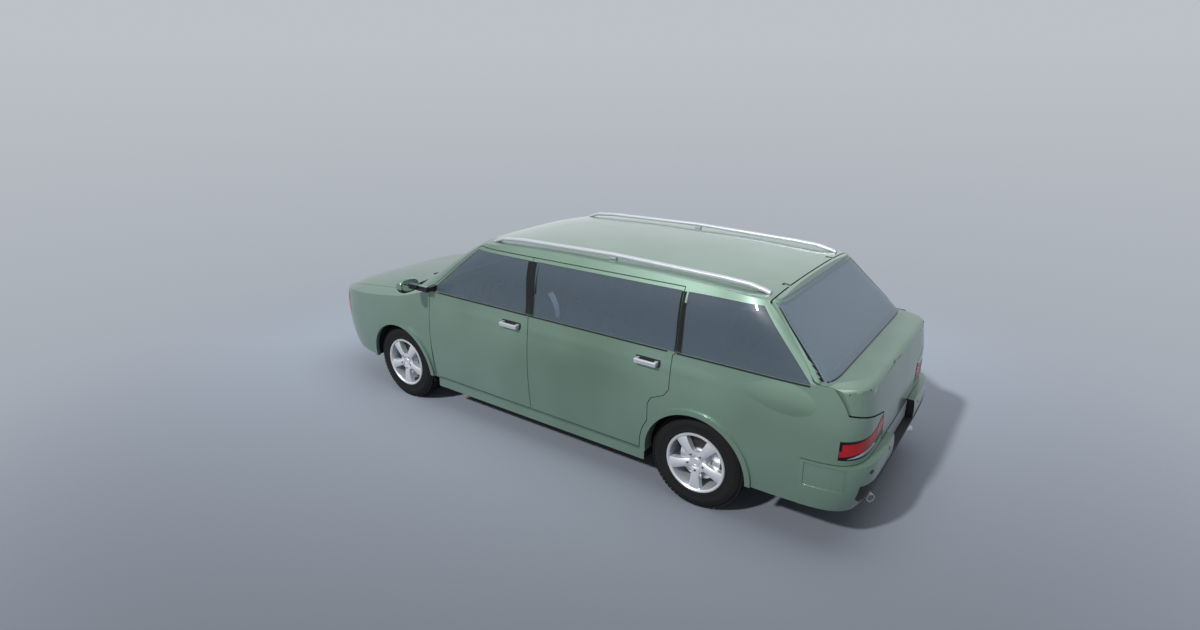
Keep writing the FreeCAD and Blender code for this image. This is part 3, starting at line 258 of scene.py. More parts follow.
SLOTS = {
    "black_plastic": (grained_black, gloss_black, dash_plastic, painted_glass_reflection), "seal_rubber": (seal_rubber,),
    "rail_metal": (rail_metal, bright_steel, chrome), "suspension_steel": (black_steel, cast_iron),
    "wheel_alloy": (rim_silver,), "tyre": (tread_rubber,), "body_paint": (tail_paint,),
    "plate_white": (dial_white,), "clear_lens": (clear_lens,),
}
slot_of = {finish.name: slot_name for slot_name, group in SLOTS.items() for finish in group}
finish_of = {key: finish for finish, keys in FINISHES.items() for key in keys}
for name, solid in nodes.items():
    fits = [key for key in finish_of if name.startswith(key)]
    if not fits:
        print("no finish for", name)
        continue
    solid.data.materials.clear()
    solid.data.materials.append(finish_of[max(fits, key=len)])
print("finishes given to", len(nodes))


# %% [markdown]
# ## Trim that follows a panel
# Pillar covers, window seals and lamp inserts are moulded to the curve of the panel under them. Drawing
# each by hand would never fit. Instead the outline is drawn flat, cut into small cells, and every point
# is sent along a ray until it meets the panel. The piece then gets its own thickness. The same helper
# works from the side, from behind, from the cabin and round a corner, because each view is only a rule
# for where a ray starts and where it goes.

# %% Helpers for pieces laid on a panel
def straight_view(direction, start):
    ray = Vector(direction)
    return lambda u, v: (Vector(start(u, v)), ray)


FROM_LEFT = straight_view((-1, 0, 0), lambda u, v: (3, u, v))
FROM_RIGHT = straight_view((1, 0, 0), lambda u, v: (-3, u, v))
FROM_REAR = straight_view((0, -1, 0), lambda u, v: (u, 4, v))
FROM_FRONT = straight_view((0, 1, 0), lambda u, v: (u, -4, v))
CABIN_VIEWS = {"left": straight_view((1, 0, 0), lambda u, v: (0.35, u, v)),
               "right": straight_view((-1, 0, 0), lambda u, v: (-0.35, u, v))}
SIDES = (("left", 1, FROM_LEFT), ("right", -1, FROM_RIGHT))


def surface_of(*names):
    bm = bmesh.new()
    for name in names:
        bm.from_mesh(nodes[name].data)
    tree = BVHTree.FromBMesh(bm)
    bm.free()
    return tree


def linked(name, data):
    thing = bpy.data.objects.new(name, data)
    bpy.context.scene.collection.objects.link(thing)
    return thing


def new_piece(name, bm, material, body="root", sharp=40.0):
    bmesh.ops.recalc_face_normals(bm, faces=bm.faces)
    mesh = bpy.data.meshes.new(name)
    bm.to_mesh(mesh)
    bm.free()
    mesh.materials.append(material)
    mesh.shade_smooth()
    mesh.set_sharp_from_angle(angle=math.radians(sharp))
    piece = linked(name, mesh)
    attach(piece, body)
    return piece


def cut_in_cells(bm, step):
    for axis in (Vector((1, 0, 0)), Vector((0, 1, 0))):
        reach = [v.co.dot(axis) for v in bm.verts]
        count = max(int((max(reach) - min(reach)) / step), 1)
        for i in range(1, count):
            place = axis * (min(reach) + (max(reach) - min(reach)) * i / count)
            everything = bm.verts[:] + bm.edges[:] + bm.faces[:]
            bmesh.ops.bisect_plane(bm, geom=everything, plane_co=place, plane_no=axis)


def laid_on(name, outline, view, skin, lift_mm, thick_mm, material, body="root", step=0.03, stretch=1.0):
    bm = bmesh.new()
    bm.faces.new([bm.verts.new((u * stretch, v, 0)) for u, v in outline])
    cut_in_cells(bm, step)
    rays, missed = {}, []
    for vert in bm.verts:
        start, ray = view(vert.co.x / stretch, vert.co.y)
        hit = skin.ray_cast(start, ray)[0]
        if hit is None:
            missed.append(vert)
            continue
        vert.co = hit - ray * lift_mm * MM
        rays[vert] = ray
    if missed:
        print(name, "points that met no panel:", len(missed))
        bmesh.ops.delete(bm, geom=missed, context="VERTS")
    outer = {v: v.co - rays[v] * thick_mm * MM for v in bm.verts}
    bottom = bm.faces[:]
    rim = [e for e in bm.edges if e.is_boundary]
    top_of = {v: bm.verts.new(co) for v, co in outer.items()}
    for face in bottom:
        bm.faces.new([top_of[v] for v in face.verts])
    for edge in rim:
        a, b = edge.verts
        bm.faces.new((a, b, top_of[b], top_of[a]))
    return new_piece(name, bm, material, body)


def band(points, width):
    left, right = [], []
    for i, point in enumerate(points):
        before = Vector(points[max(i - 1, 0)])
        after = Vector(points[min(i + 1, len(points) - 1)])
        along = (after - before).normalized()
        side = Vector((-along.y, along.x)) * width / 2
        left.append(tuple(Vector(point) + side))
        right.append(tuple(Vector(point) - side))
    return left + right[::-1]


def oval(x, z, wide, high, count, start=0.0, part=1.0):
    stops = count if part == 1.0 else count + 1
    angles = [2 * math.pi * start + 2 * math.pi * part * i / count for i in range(stops)]
    return [(x + wide * math.cos(a), z + high * math.sin(a)) for a in angles]


def half_rings(x, z, outer, inner, count):
    return [oval(x, z, *outer, count, start, 0.5) + oval(x, z, *inner, count, start, 0.5)[::-1]
            for start in (0.0, 0.5)]


# %% [markdown]
# ## Pillar covers and window seals
# Between the side windows the pillars wear gloss black covers, so that the windows read as one band of
# glass. Each cover ends a few millimetres short of its door's edge, which keeps the shut line open, and
# it belongs to the door or wall that carries it. A rubber seal runs along the foot of each window.

# %% Pillar covers and waist seals
BELT, HEAD, SEAL_HEIGHT, SEAL_WIDTH = 1.036, 1.394, 1.0290, 0.009
PILLAR_COVERS = {
    "front_door": [[(0.0056, BELT), (0.0308, BELT), (0.0028, HEAD), (-0.0364, HEAD)]],
    "rear_door": [[(0.0378, BELT), (0.0750, BELT), (0.0402, HEAD), (0.0098, HEAD)],
                  [(1.2076, BELT), (1.2190, BELT), (1.2028, HEAD), (1.1886, HEAD)]],
    "side_wall": [[(1.2258, BELT), (1.2548, BELT), (1.2352, HEAD), (1.2098, HEAD)]],
}
WAIST_SEALS = {"front_door": (-0.975, 0.028), "rear_door": (0.041, 1.216), "side_wall": (1.229, 2.050)}
GLASS_EDGE = [(0.0700, BELT), (0.0900, BELT), (0.0620, HEAD), (0.0350, HEAD)]


def carrier(part, side):
    panel = f"{part}_{side}"
    return panel, surface_of(panel), "root" if part == "side_wall" else panel


for side, sign, view in SIDES:
    for part, outlines in PILLAR_COVERS.items():
        panel, skin, body = carrier(part, side)
        for i, outline in enumerate(outlines):
            laid_on(f"{panel}_pillar_cover_{i}", outline, view, skin, 0.2, 1.4, gloss_black, body, step=0.012)
    for part, ends in WAIST_SEALS.items():
        panel, skin, body = carrier(part, side)
        seal = band([(y, SEAL_HEIGHT) for y in ends], SEAL_WIDTH)
        laid_on(f"{panel}_waist_seal", seal, view, skin, 0.1, 2.5, seal_rubber, body, step=0.05)
for side, sign, view in SIDES:
    pane = f"rear_door_glass_{side}"
    laid_on(f"{pane}_black_edge", GLASS_EDGE, view, surface_of(pane), 0.1, 0.5, gloss_black,
            f"rear_door_{side}", step=0.02)
print("pillar covers and seals on both sides")


# %% Black strips behind the shut gaps: painted shade in the gaps
SHUT_GAP_SHADE_WIDTH = 0.0095
SHUT_GAP_SHADE_LINES = {
    "middle": [(0.0430, 0.330), (0.0430, 0.930), (0.0052, 1.400)],
    "rear": [(1.2018, 1.400), (1.2190, 1.034), (1.1990, 1.010), (1.1970, 0.800)],
    "sill_front": [(-0.985, 0.3112), (0.036, 0.3112)],
    "sill_rear": [(0.050, 0.3112), (0.985, 0.3112)],
    "head_front": [(-0.535, 1.4168), (0.002, 1.4168)],
    "head_rear": [(0.010, 1.4168), (1.198, 1.4168)],
}
# The black rubber strips lie on the body behind the door gaps, where they paint the shade inside the gaps.
for side, sign, view in SIDES:
    wall = surface_of(f"side_wall_{side}")
    for key, line in SHUT_GAP_SHADE_LINES.items():
        strip = band(line, SHUT_GAP_SHADE_WIDTH)
        laid_on(f"shut_gap_shade_{key}_{side}", strip, view, wall, 0.2, 1.0, seal_rubber, step=0.06)
print("shut lines", len(SHUT_GAP_SHADE_LINES) * 2)


# %% [markdown]
# ## Tyres
# A tyre is a carcass of revolution with a pattern of rubber blocks on its tread. The carcass is turned
# from half a dozen points of its real section, with a raised rim guard and two moulded rings on the
# wall. The blocks repeat by a rule, so Geometry Nodes place them: a circle of points for each rib, one
# small block on each point, and each rib a little out of step with its neighbour.

# %% Carcass of the tyre
TYRE_RADIUS = AXLE_HEIGHT = 0.3175
WALL_PROFILE = [(0.0855, 0.1975), (0.0935, 0.2100), (0.0965, 0.2160), (0.0945, 0.2200), (0.0970, 0.2400),
                (0.0975, 0.2480), (0.0963, 0.2490), (0.0963, 0.2510), (0.0972, 0.2520), (0.0955, 0.2730),
                (0.0942, 0.2740), (0.0940, 0.2765), (0.0925, 0.2790), (0.0850, 0.2960), (0.0760, 0.3060),
                (0.0600, 0.3090), (0.0300, 0.3103), (0.0000, 0.3105)]
INNER_SKIN = [(-0.075, 0.1975), (-0.080, 0.240), (-0.070, 0.290), (0.070, 0.290), (0.080, 0.240),
              (0.075, 0.1975)]
WHEELS = {
    "front_{}_left": (0.735, -1.385), "front_{}_right": (-0.735, -1.385),
    "rear_{}_left": (0.735, 1.385), "rear_{}_right": (-0.735, 1.385),
}


def turned(profile, segments, closed=True):
    bm = bmesh.new()
    rings = []
    for i in range(segments):
        angle = 2 * math.pi * i / segments
        rings.append([bm.verts.new((x, r * math.sin(angle), r * math.cos(angle))) for x, r in profile])
    count = len(profile)
    for i in range(segments):
        a, b = rings[i], rings[(i + 1) % segments]
        for j in range(count if closed else count - 1):
            k = (j + 1) % count
            bm.faces.new((a[j], a[k], b[k], b[j]))
    if not closed:
        bmesh.ops.remove_doubles(bm, verts=bm.verts, dist=1e-6)
    return bm


def form_of(mesh):
    bm = bmesh.new()
    bm.from_mesh(mesh)
    return bm


def moved(bm, place, degrees=0.0, axis="X"):
    turn = Matrix.Rotation(math.radians(degrees), 4, axis)
    bmesh.ops.transform(bm, matrix=Matrix.Translation(place) @ turn, verts=bm.verts)
    return bm


tyre_section = WALL_PROFILE + [(-x, r) for x, r in reversed(WALL_PROFILE[:-1])] + INNER_SKIN
print("tyre section points", len(tyre_section))


# %% Helpers for Geometry Nodes
SOCKET_KINDS = {float: "NodeSocketFloat", int: "NodeSocketInt"}
ON_AXLE = (0, math.pi / 2, 0)


def tree_with_inputs(name, values):
    tree = bpy.data.node_groups.new(name, "GeometryNodeTree")
    tree.interface.new_socket("Geometry", in_out="OUTPUT", socket_type="NodeSocketGeometry")
    for title, value in values.items():
        kind = SOCKET_KINDS.get(type(value), "NodeSocketMaterial")
        tree.interface.new_socket(title, in_out="INPUT", socket_type=kind)
    return tree, add(tree, "NodeGroupInput").outputs, add(tree, "NodeGroupOutput").inputs


def copies_on(tree, points, item, material, end, turns=(), outward=True):
    placed = add(tree, "GeometryNodeInstanceOnPoints", Points=points, Instance=item)
    if outward:
        where = add(tree, "GeometryNodeInputPosition")
        add(tree, "FunctionNodeAlignRotationToVector", {"axis": "X", "pivot_axis": "Z"},
            {"Rotation": placed.inputs["Rotation"]}, Vector=where)
    for turn in turns:
        placed = add(tree, "GeometryNodeTransform", Geometry=placed, **turn)
    real = add(tree, "GeometryNodeRealizeInstances", Geometry=placed)
    add(tree, "GeometryNodeSetMaterial", None, {"Geometry": end[0]}, Geometry=real, Material=material)


def grown_mesh(name, tree, values):
    holder = linked(name, bpy.data.meshes.new(name))
    modifier = holder.modifiers.new(name, "NODES")
    modifier.node_group = tree
    for item in tree.interface.items_tree:
        if item.item_type == "SOCKET" and item.in_out == "INPUT":
            modifier[item.identifier] = values[item.name]
    depsgraph = bpy.context.evaluated_depsgraph_get()
    mesh = bpy.data.meshes.new_from_object(holder.evaluated_get(depsgraph))
    bpy.data.objects.remove(holder)
    return mesh


# %% Tread blocks with Geometry Nodes
BLOCK_HEIGHT = 0.009
TREAD_RIBS = ((-0.064, 0.026, 0.0), (-0.031, 0.024, 0.5), (0.0, 0.022, 0.25), (0.031, 0.024, 0.0),
              (0.064, 0.026, 0.5))
TREAD = {"Radius": TYRE_RADIUS - BLOCK_HEIGHT / 2, "Pitches": 64, "Rib place": 0.0, "Rib width": 0.024,
         "Phase": 0.0, "Block height": BLOCK_HEIGHT, "Block length": 0.0265, "Rubber": tread_rubber}
tree, given, end = tree_with_inputs("Tread_rib", TREAD)
circle = add(tree, "GeometryNodeMeshCircle", Vertices=given["Pitches"], Radius=given["Radius"])
size = add(tree, "ShaderNodeCombineXYZ", X=given["Block height"], Y=given["Block length"],
           Z=given["Rib width"])
block = add(tree, "GeometryNodeMeshCube", Size=size)
step_angle = add(tree, "ShaderNodeMath", {"operation": "DIVIDE"}, i0=2 * math.pi, i1=given["Pitches"])
turn = add(tree, "ShaderNodeMath", {"operation": "MULTIPLY"}, i0=step_angle, i1=given["Phase"])
spin = add(tree, "ShaderNodeCombineXYZ", Z=turn)
shift = add(tree, "ShaderNodeCombineXYZ", X=given["Rib place"])
copies_on(tree, circle, block, given["Rubber"], end,
          [{"Rotation": spin}, {"Rotation": ON_AXLE, "Translation": shift}])
ribs = [{"Rib place": place, "Rib width": width, "Phase": phase} for place, width, phase in TREAD_RIBS]
tread_meshes = [grown_mesh("tread_rib", tree, TREAD | rib) for rib in ribs]
print("tread blocks", sum(len(m.polygons) for m in tread_meshes) // 6)

# %% Put the tyres on their wheels
for pattern, (x, y) in WHEELS.items():
    tyre = turned(tyre_section, 96)
    for mesh in tread_meshes:
        tyre.from_mesh(mesh)
    piece = new_piece(pattern.format("dressed_tyre"), moved(tyre, (x, y, AXLE_HEIGHT)), tread_rubber,
                      pattern.format("wheel"), sharp=50.0)
    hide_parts(pattern.format("tyre"))


# %% [markdown]
# ## Wheel bolts
# Five hexagon bolts hold each rim. They are the same bolt five times on a circle, so Geometry Nodes
# repeat a six-sided cylinder, and the result is moved to each wheel's outer face.

# %% Wheel bolts with Geometry Nodes
FLATS_IN_RADII = 1.732
BOLTS = {"Circle radius": 0.057, "Bolts": 5, "Across": 0.0155, "Length": 0.018, "Metal": black_steel}
tree, given, end = tree_with_inputs("Bolt_circle", BOLTS)
circle = add(tree, "GeometryNodeMeshCircle", Vertices=given["Bolts"], Radius=given["Circle radius"])
half = add(tree, "ShaderNodeMath", {"operation": "DIVIDE"}, i0=given["Across"], i1=FLATS_IN_RADII)
head = add(tree, "GeometryNodeMeshCylinder", Vertices=6, Radius=half, Depth=given["Length"])
copies_on(tree, circle, head, given["Metal"], end, [{"Rotation": ON_AXLE}], outward=False)
bolt_mesh = grown_mesh("bolts", tree, BOLTS)
print("bolt faces", len(bolt_mesh.polygons))


# %% [markdown]
# The bolts go into the five holes of each hub. The same cell closes the hub with a cap, hangs a caliper
# over each brake disc and pushes a rubber valve through the rim. A caliper stands still while its wheel
# turns, so it rides on the knuckle in front and on the axle behind.

# %% Bolts, hub caps, calipers and valves
HUB_FACE, BOLT_FACE, VALVE_RADIUS = 0.0775, 0.0725, 0.178
CAP_PROFILE = [(-0.004, 0.0), (-0.004, 0.029), (0.002, 0.029), (0.0045, 0.026), (0.0050, 0.021),
               (0.0035, 0.019), (0.0040, 0.010), (0.0045, 0.0)]
CALIPER_START, CALIPER_SWEEP, CALIPER_STEPS = 55, 60, 10
CALIPER_SECTION = ((-0.016, 0.088), (-0.016, 0.152), (0.036, 0.152), (0.036, 0.088), (0.024, 0.088),
                   (0.024, 0.143), (-0.002, 0.143), (-0.002, 0.088))


def skinned(bm, sections):
    count = len(sections[0])
    for a, b in zip(sections, sections[1:]):
        for j in range(count):
            bm.faces.new((a[j], a[(j + 1) % count], b[(j + 1) % count], b[j]))
    bm.faces.new(sections[0][::-1])
    bm.faces.new(sections[-1])
    return bm


def caliper_form():
    bm = bmesh.new()
    sections = []
    for i in range(CALIPER_STEPS + 1):
        angle = math.radians(CALIPER_START + CALIPER_SWEEP * i / CALIPER_STEPS)
        along, up = math.cos(angle), math.sin(angle)
        sections.append([bm.verts.new((x, r * along, r * up)) for x, r in CALIPER_SECTION])
    return skinned(bm, sections)


for pattern, (x, y) in WHEELS.items():
    valve = bmesh.new()
    bmesh.ops.create_cone(valve, cap_ends=True, segments=12, radius1=0.0042, radius2=0.0032, depth=0.03)
    caliper_holder = "knuckle_" + pattern.split("_")[-1] if pattern.startswith("front") else "root"
    wheel = pattern.format("wheel")
    cap = turned(CAP_PROFILE, 40, closed=False)
    for part, form, material, body, sharp in (
            ("bolts", moved(form_of(bolt_mesh), (BOLT_FACE, 0, 0)), black_steel, wheel, 25.0),
            ("hub_cap", moved(cap, (HUB_FACE, 0, 0)), rim_silver, wheel, 30.0),
            ("valve", moved(valve, (0.072, 0, VALVE_RADIUS), 70, "Y"), seal_rubber, wheel, 40.0),
            ("caliper", caliper_form(), cast_iron, caliper_holder, 40.0)):
        if x < 0:
            bmesh.ops.scale(form, verts=form.verts, vec=(-1, 1, 1))
        new_piece(pattern.format(part), moved(form, (x, y, AXLE_HEIGHT)), material, body, sharp)
print("wheels dressed", len(WHEELS))


# %% [markdown]
# ## Cloth for the cabin
# The seats wear a plain woven cloth. Two sets of threads cross, so the height is the product of two
# waves, one across and one along. Real threads are 0.6 mm apart, which the picture can't hold, so they
# are drawn 2.5 mm apart. A slow noise makes worn and fresh places differ a little, and sheen gives the
# soft bright edge that cloth has. The door cards carry a darker cloth with wider ribs.

# %% Woven cloth for the padded pieces and the door cards
def make_cloth(name, colour, dark, thread_mm):
    material, tree, shader = new_material(name, Roughness=0.88, Sheen_Weight=0.35, Sheen_Roughness=0.5)
    place = add(tree, "ShaderNodeTexCoord").outputs["Object"]
    across, along = [add(tree, "ShaderNodeTexWave", {"bands_direction": bands}, Vector=place,
                         Scale=math.pi / (thread_mm * MM) / 10) for bands in ("X", "DIAGONAL")]
    weave = add(tree, "ShaderNodeMath", {"operation": "MULTIPLY"}, i0=across.outputs["Fac"],
                i1=along.outputs["Fac"])
    add(tree, "ShaderNodeBump", None, {"Normal": shader.inputs["Normal"]}, Height=weave, Strength=0.5,
        Distance=0.5 * MM)
    worn_between(tree, shader.inputs["Base Color"], 120.0, rgba(dark), rgba(colour))
    return material


main_cloth = make_cloth("Grey_woven_seat_cloth", "5A5F66", "484D53", 2.5)
insert_cloth = make_cloth("Dark_ribbed_seat_insert", "3A3E44", "2E3136", 4.0)
slot_of[insert_cloth.name] = "seat_fabric"


# %% [markdown]
# ## Front seats and rear bench
# A car seat is moulded foam under a sewn cover: a flat centre between two raised bolsters, sides that
# pull in between the corners, and seams where the centre panel meets the bolsters. Each cushion starts
# as a block a little smaller than its place in the frame. The block is remeshed evenly and blown up as
# cloth, which rounds it as foam does, and the seams are pressed in afterwards.

# %% Helpers for padded pieces
SOFT_FRAMES, BLOCK_CUTS = 16, 11
PRESSED_WIDTH, SEAM_DEPTH, CROSS_SEAM_DEPTH, FAR_FROM_SEAM = 0.006, 0.004, 0.0035, 1.0


def foam_block(width, length, height, bolster, waist):
    bm = bmesh.new()
    bmesh.ops.create_cube(bm, size=2.0)
    bmesh.ops.subdivide_edges(bm, edges=bm.edges[:], cuts=BLOCK_CUTS, use_grid_fill=True)
    for vert in bm.verts:
        u, v, w = vert.co
        edge = max(abs(u), abs(v))
        raised = bolster * max(abs(u) - 0.55, 0) / 0.45 if w > 0 else 0
        x = u * width / 2 * (1 - waist * (1 - v * v) * 0.5)
        y = v * length / 2 * (1 - waist * (1 - u * u) * 0.4)
        z = w * height / 2 * (1 - 0.16 * edge ** 6) + raised * (1 - 0.3 * v * v)
        vert.co = (x, y, z)
    return bm


def evaluated_mesh(thing):
    depsgraph = bpy.context.evaluated_depsgraph_get()
    return bpy.data.meshes.new_from_object(thing.evaluated_get(depsgraph))


def blown_up(name, bm, voxel, pressure, cap):
    mesh = bpy.data.meshes.new(name)
    bm.to_mesh(mesh)
    bm.free()
    work = linked(name, mesh)
    remesh = work.modifiers.new("Even_cells", "REMESH")
    remesh.mode = "VOXEL"
    remesh.voxel_size = voxel
    work.data = evaluated_mesh(work)
    work.modifiers.clear()
    rest = [v.co.copy() for v in work.data.vertices]
    cloth = work.modifiers.new("Cover", "CLOTH")
    cloth.settings.use_pressure = True
    cloth.settings.uniform_pressure_force = pressure
    cloth.settings.effector_weights.gravity = 0
    cloth.point_cache.frame_end = SOFT_FRAMES
    for number in range(1, SOFT_FRAMES + 1):
        bpy.context.scene.frame_set(number)
    swollen = evaluated_mesh(work)
    work.modifiers.clear()
    bpy.context.scene.frame_set(1)
    for vert, old in zip(swollen.vertices, rest):
        move = vert.co - old
        vert.co = old + move * min(1.0, cap / max(move.length, 1e-6))
    work.data = swollen
    smooth = work.modifiers.new("Smooth", "SUBSURF")
    smooth.levels = smooth.render_levels = 1
    result = evaluated_mesh(work)
    bpy.data.objects.remove(work)
    return result


def press_seam(mesh, distance_to_seam, depth):
    for vert in mesh.vertices:
        away = distance_to_seam(vert.co) if vert.co.z >= 0 else FAR_FROM_SEAM
        if away < PRESSED_WIDTH * 2.5:
            vert.co -= vert.normal * depth * math.exp(-(away / PRESSED_WIDTH) ** 2)


def press_seams(mesh, half_width, span):
    def along(co):
        return abs(abs(co.x) - half_width) if abs(co.y) < span else FAR_FROM_SEAM

    def across(co):
        cross_seams = (-span, -span / 3, span / 3, span)
        return min(abs(co.y - y) for y in cross_seams) if abs(co.x) < half_width else FAR_FROM_SEAM

    press_seam(mesh, along, SEAM_DEPTH)
    press_seam(mesh, across, CROSS_SEAM_DEPTH)


def padded_piece(name, mesh, place, degrees):
    mesh = mesh.copy()
    mesh.transform(Matrix.Translation(place) @ Matrix.Rotation(math.radians(degrees), 4, "X"))
    mesh.materials.clear()
    mesh.materials.append(main_cloth)
    mesh.shade_smooth()
    piece = linked(name, mesh)
    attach(piece, "root")
    return piece


# %% Make the forms of one front seat and the bench
front_cushion = blown_up("front_cushion", foam_block(0.46, 0.47, 0.085, 0.045, 0.04), 0.009, 3.0, 0.012)
front_back = blown_up("front_back", foam_block(0.44, 0.60, 0.085, 0.050, 0.08), 0.009, 3.0, 0.012)
head_rest = blown_up("head_rest", foam_block(0.235, 0.14, 0.075, 0.0, 0.05), 0.007, 3.0, 0.008)
bench_cushion = blown_up("bench_cushion", foam_block(1.14, 0.46, 0.115, 0.02, 0.03), 0.012, 3.0, 0.012)
bench_back = blown_up("bench_back", foam_block(1.08, 0.60, 0.080, 0.02, 0.03), 0.012, 3.0, 0.012)
for mesh, half_width, span in ((front_cushion, 0.135, 0.17), (front_back, 0.135, 0.22),
                               (bench_cushion, 0.20, 0.17), (bench_back, 0.20, 0.22)):
    press_seams(mesh, half_width, span)
print("cells", [len(m.polygons) for m in (front_cushion, front_back, head_rest, bench_cushion, bench_back)])

# %% Place the seats
FRONT_SEATS_X = 0.37
padded = []
for side, sign, _ in SIDES:
    x = sign * FRONT_SEATS_X
    padded.append(padded_piece(f"front_cushion_{side}", front_cushion, (x, -0.165, 0.487), 4))
    padded.append(padded_piece(f"front_backrest_{side}", front_back, (x, 0.175, 0.825), 71))
    padded.append(padded_piece(f"front_head_rest_{side}", head_rest, (x, 0.300, 1.195), 80))
bench = padded_piece("bench_cushion", bench_cushion, (0, 0.720, 0.470), 4)
padded += [bench, padded_piece("bench_backrest", bench_back, (0, 0.980, 0.790), 71)]
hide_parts("front_seats")
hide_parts("rear_bench")
print("padded pieces", len(padded))


# %% [markdown]
# ## Lamps
# A tail lamp is a black housing under a red moulded lens. The lens is red acrylic with a fine pattern of
# prisms behind its face, so little light passes straight through, and a small bump with a regular grain
# breaks up the rest. A reversing and turn section of clear acrylic runs along the lower edge, and two
# pale light guides lie near the inner end. Each headlamp has two projectors with bright rings and a
# light guide, all behind one clear cover.

# %% Lamp materials
def make_lens(name, colour, prism_mm, see_through):
    material, tree, shader = new_material(name, Base_Color=rgba(colour), Roughness=0.3, IOR=1.49,
                                          Transmission_Weight=see_through)
    place = add(tree, "ShaderNodeTexCoord").outputs["Object"]
    prisms = add(tree, "ShaderNodeTexVoronoi", Vector=place, Scale=1 / (prism_mm * MM))
    add(tree, "ShaderNodeBump", None, {"Normal": shader.inputs["Normal"]}, Height=prisms, Strength=0.25,
        Distance=0.3 * MM)
    darker = (*[c * 0.8 for c in linear(colour)], 1.0)
    worn_between(tree, shader.inputs["Base Color"], 60.0, darker, rgba(colour))
    return material


red_lens = make_lens("Red_tail_lamp_acrylic", "B81620", 3.0, 0.05)
pale_lens = make_lens("Clear_ribbed_lamp_acrylic", "B9BEC4", 3.0, 0.1)
amber_lens = make_lens("Amber_turn_lamp_acrylic", "D9771E", 3.0, 0.15)
light_guide = make_lens("Frosted_light_guide", "D9C9CB", 1.5, 0.1)
slot_of[red_lens.name] = "red_lens"
slot_of.update({lens.name: "clear_lens" for lens in (pale_lens, amber_lens, light_guide)})


# %% Tail lamps round the corner
CORNER_Y, CORNER_RADIUS = 1.75, 0.6


def corner_view(sign):
    def rule(u, v):
        out = Vector((sign * math.cos(u), math.sin(u), 0))
        return Vector((0, CORNER_Y, v)) + out * 3.0, -out
    return rule


def corner_angle(x, y):
    return math.atan2(y - CORNER_Y, x)


def round_corner(points):
    return [(corner_angle(x, y), z) for x, y, z in points]


LENS_RED = round_corner([(0.840, 2.253, 0.660), (0.700, 2.345, 0.684), (0.560, 2.378, 0.694),
                         (0.428, 2.390, 0.700), (0.448, 2.390, 0.806), (0.560, 2.380, 0.762),
                         (0.745, 2.330, 0.742), (0.843, 2.246, 0.736)])
LENS_PALE = round_corner([(0.800, 2.280, 0.650), (0.560, 2.375, 0.664), (0.600, 2.370, 0.682),
                          (0.700, 2.340, 0.676)])
GUIDES = [round_corner([(0.545, 2.380, z), (0.462, 2.390, z + 0.026), (0.462, 2.390, z + 0.033),
                        (0.545, 2.380, z + 0.006)]) for z in (0.712, 0.734)]
lamp_skin = surface_of("tail_lamps")
for side, sign, _ in SIDES:
    view = corner_view(sign)
    parts = [("lens_" + side, LENS_RED, -1.0, 3.0, red_lens, 0.012),
             ("clear_" + side, LENS_PALE, 1.0, 2.0, pale_lens, 0.02)]
    parts += [(f"guide_{side}_{i}", guide, 1.0, 2.0, light_guide, 0.02) for i, guide in enumerate(GUIDES)]
    for key, outline, lift, thick, lens, step in parts:
        laid_on(f"tail_{key}", outline, view, lamp_skin, lift, thick, lens, step=step, stretch=CORNER_RADIUS)
print("tail lamps lensed")


# %% Headlamps: projectors with their rings, light guides and a clear cover
PROJECTOR_X, PROJECTOR_Z, PROJECTOR_RADIUS = (0.495, 0.625), 0.712, 0.036
RING_OUTER, RING_INNER = 0.047, 0.038
DAY_LAMP = [(0.448, 0.646), (0.700, 0.646), (0.700, 0.656), (0.448, 0.656)]
COVER = [(0.436, 0.628), (0.745, 0.628), (0.745, 0.786), (0.436, 0.786)]
TURN_LAMP = [(-2.205, 0.640), (-2.150, 0.640), (-2.150, 0.770), (-2.190, 0.770)]
head_skin = surface_of("headlamps")
for side, sign, side_view in SIDES:
    for i, x in enumerate(PROJECTOR_X):
        spot = (sign * x, PROJECTOR_Z)
        disc = oval(*spot, PROJECTOR_RADIUS, PROJECTOR_RADIUS, 28)
        laid_on(f"projector_{side}_{i}", disc, FROM_FRONT, head_skin, 0.3, 0.7, chrome, step=0.012)
        for k, ring in enumerate(half_rings(*spot, (RING_OUTER, RING_OUTER), (RING_INNER, RING_INNER), 16)):
            laid_on(f"projector_ring_{side}_{i}_{k}", ring, FROM_FRONT, head_skin, 0.3, 1.6, bright_steel,
                    step=0.012)
    strip, cover = [[(sign * x, z) for x, z in outline] for outline in (DAY_LAMP, COVER)]
    laid_on(f"day_lamp_{side}", strip, FROM_FRONT, head_skin, 0.3, 1.2, light_guide, step=0.02)
    laid_on(f"headlamp_cover_{side}", cover, FROM_FRONT, head_skin, 2.2, 1.6, clear_lens, step=0.02)
    laid_on(f"side_lamp_{side}", TURN_LAMP, side_view, head_skin, 0.3, 1.4, amber_lens, step=0.02)
print("headlamps lensed")
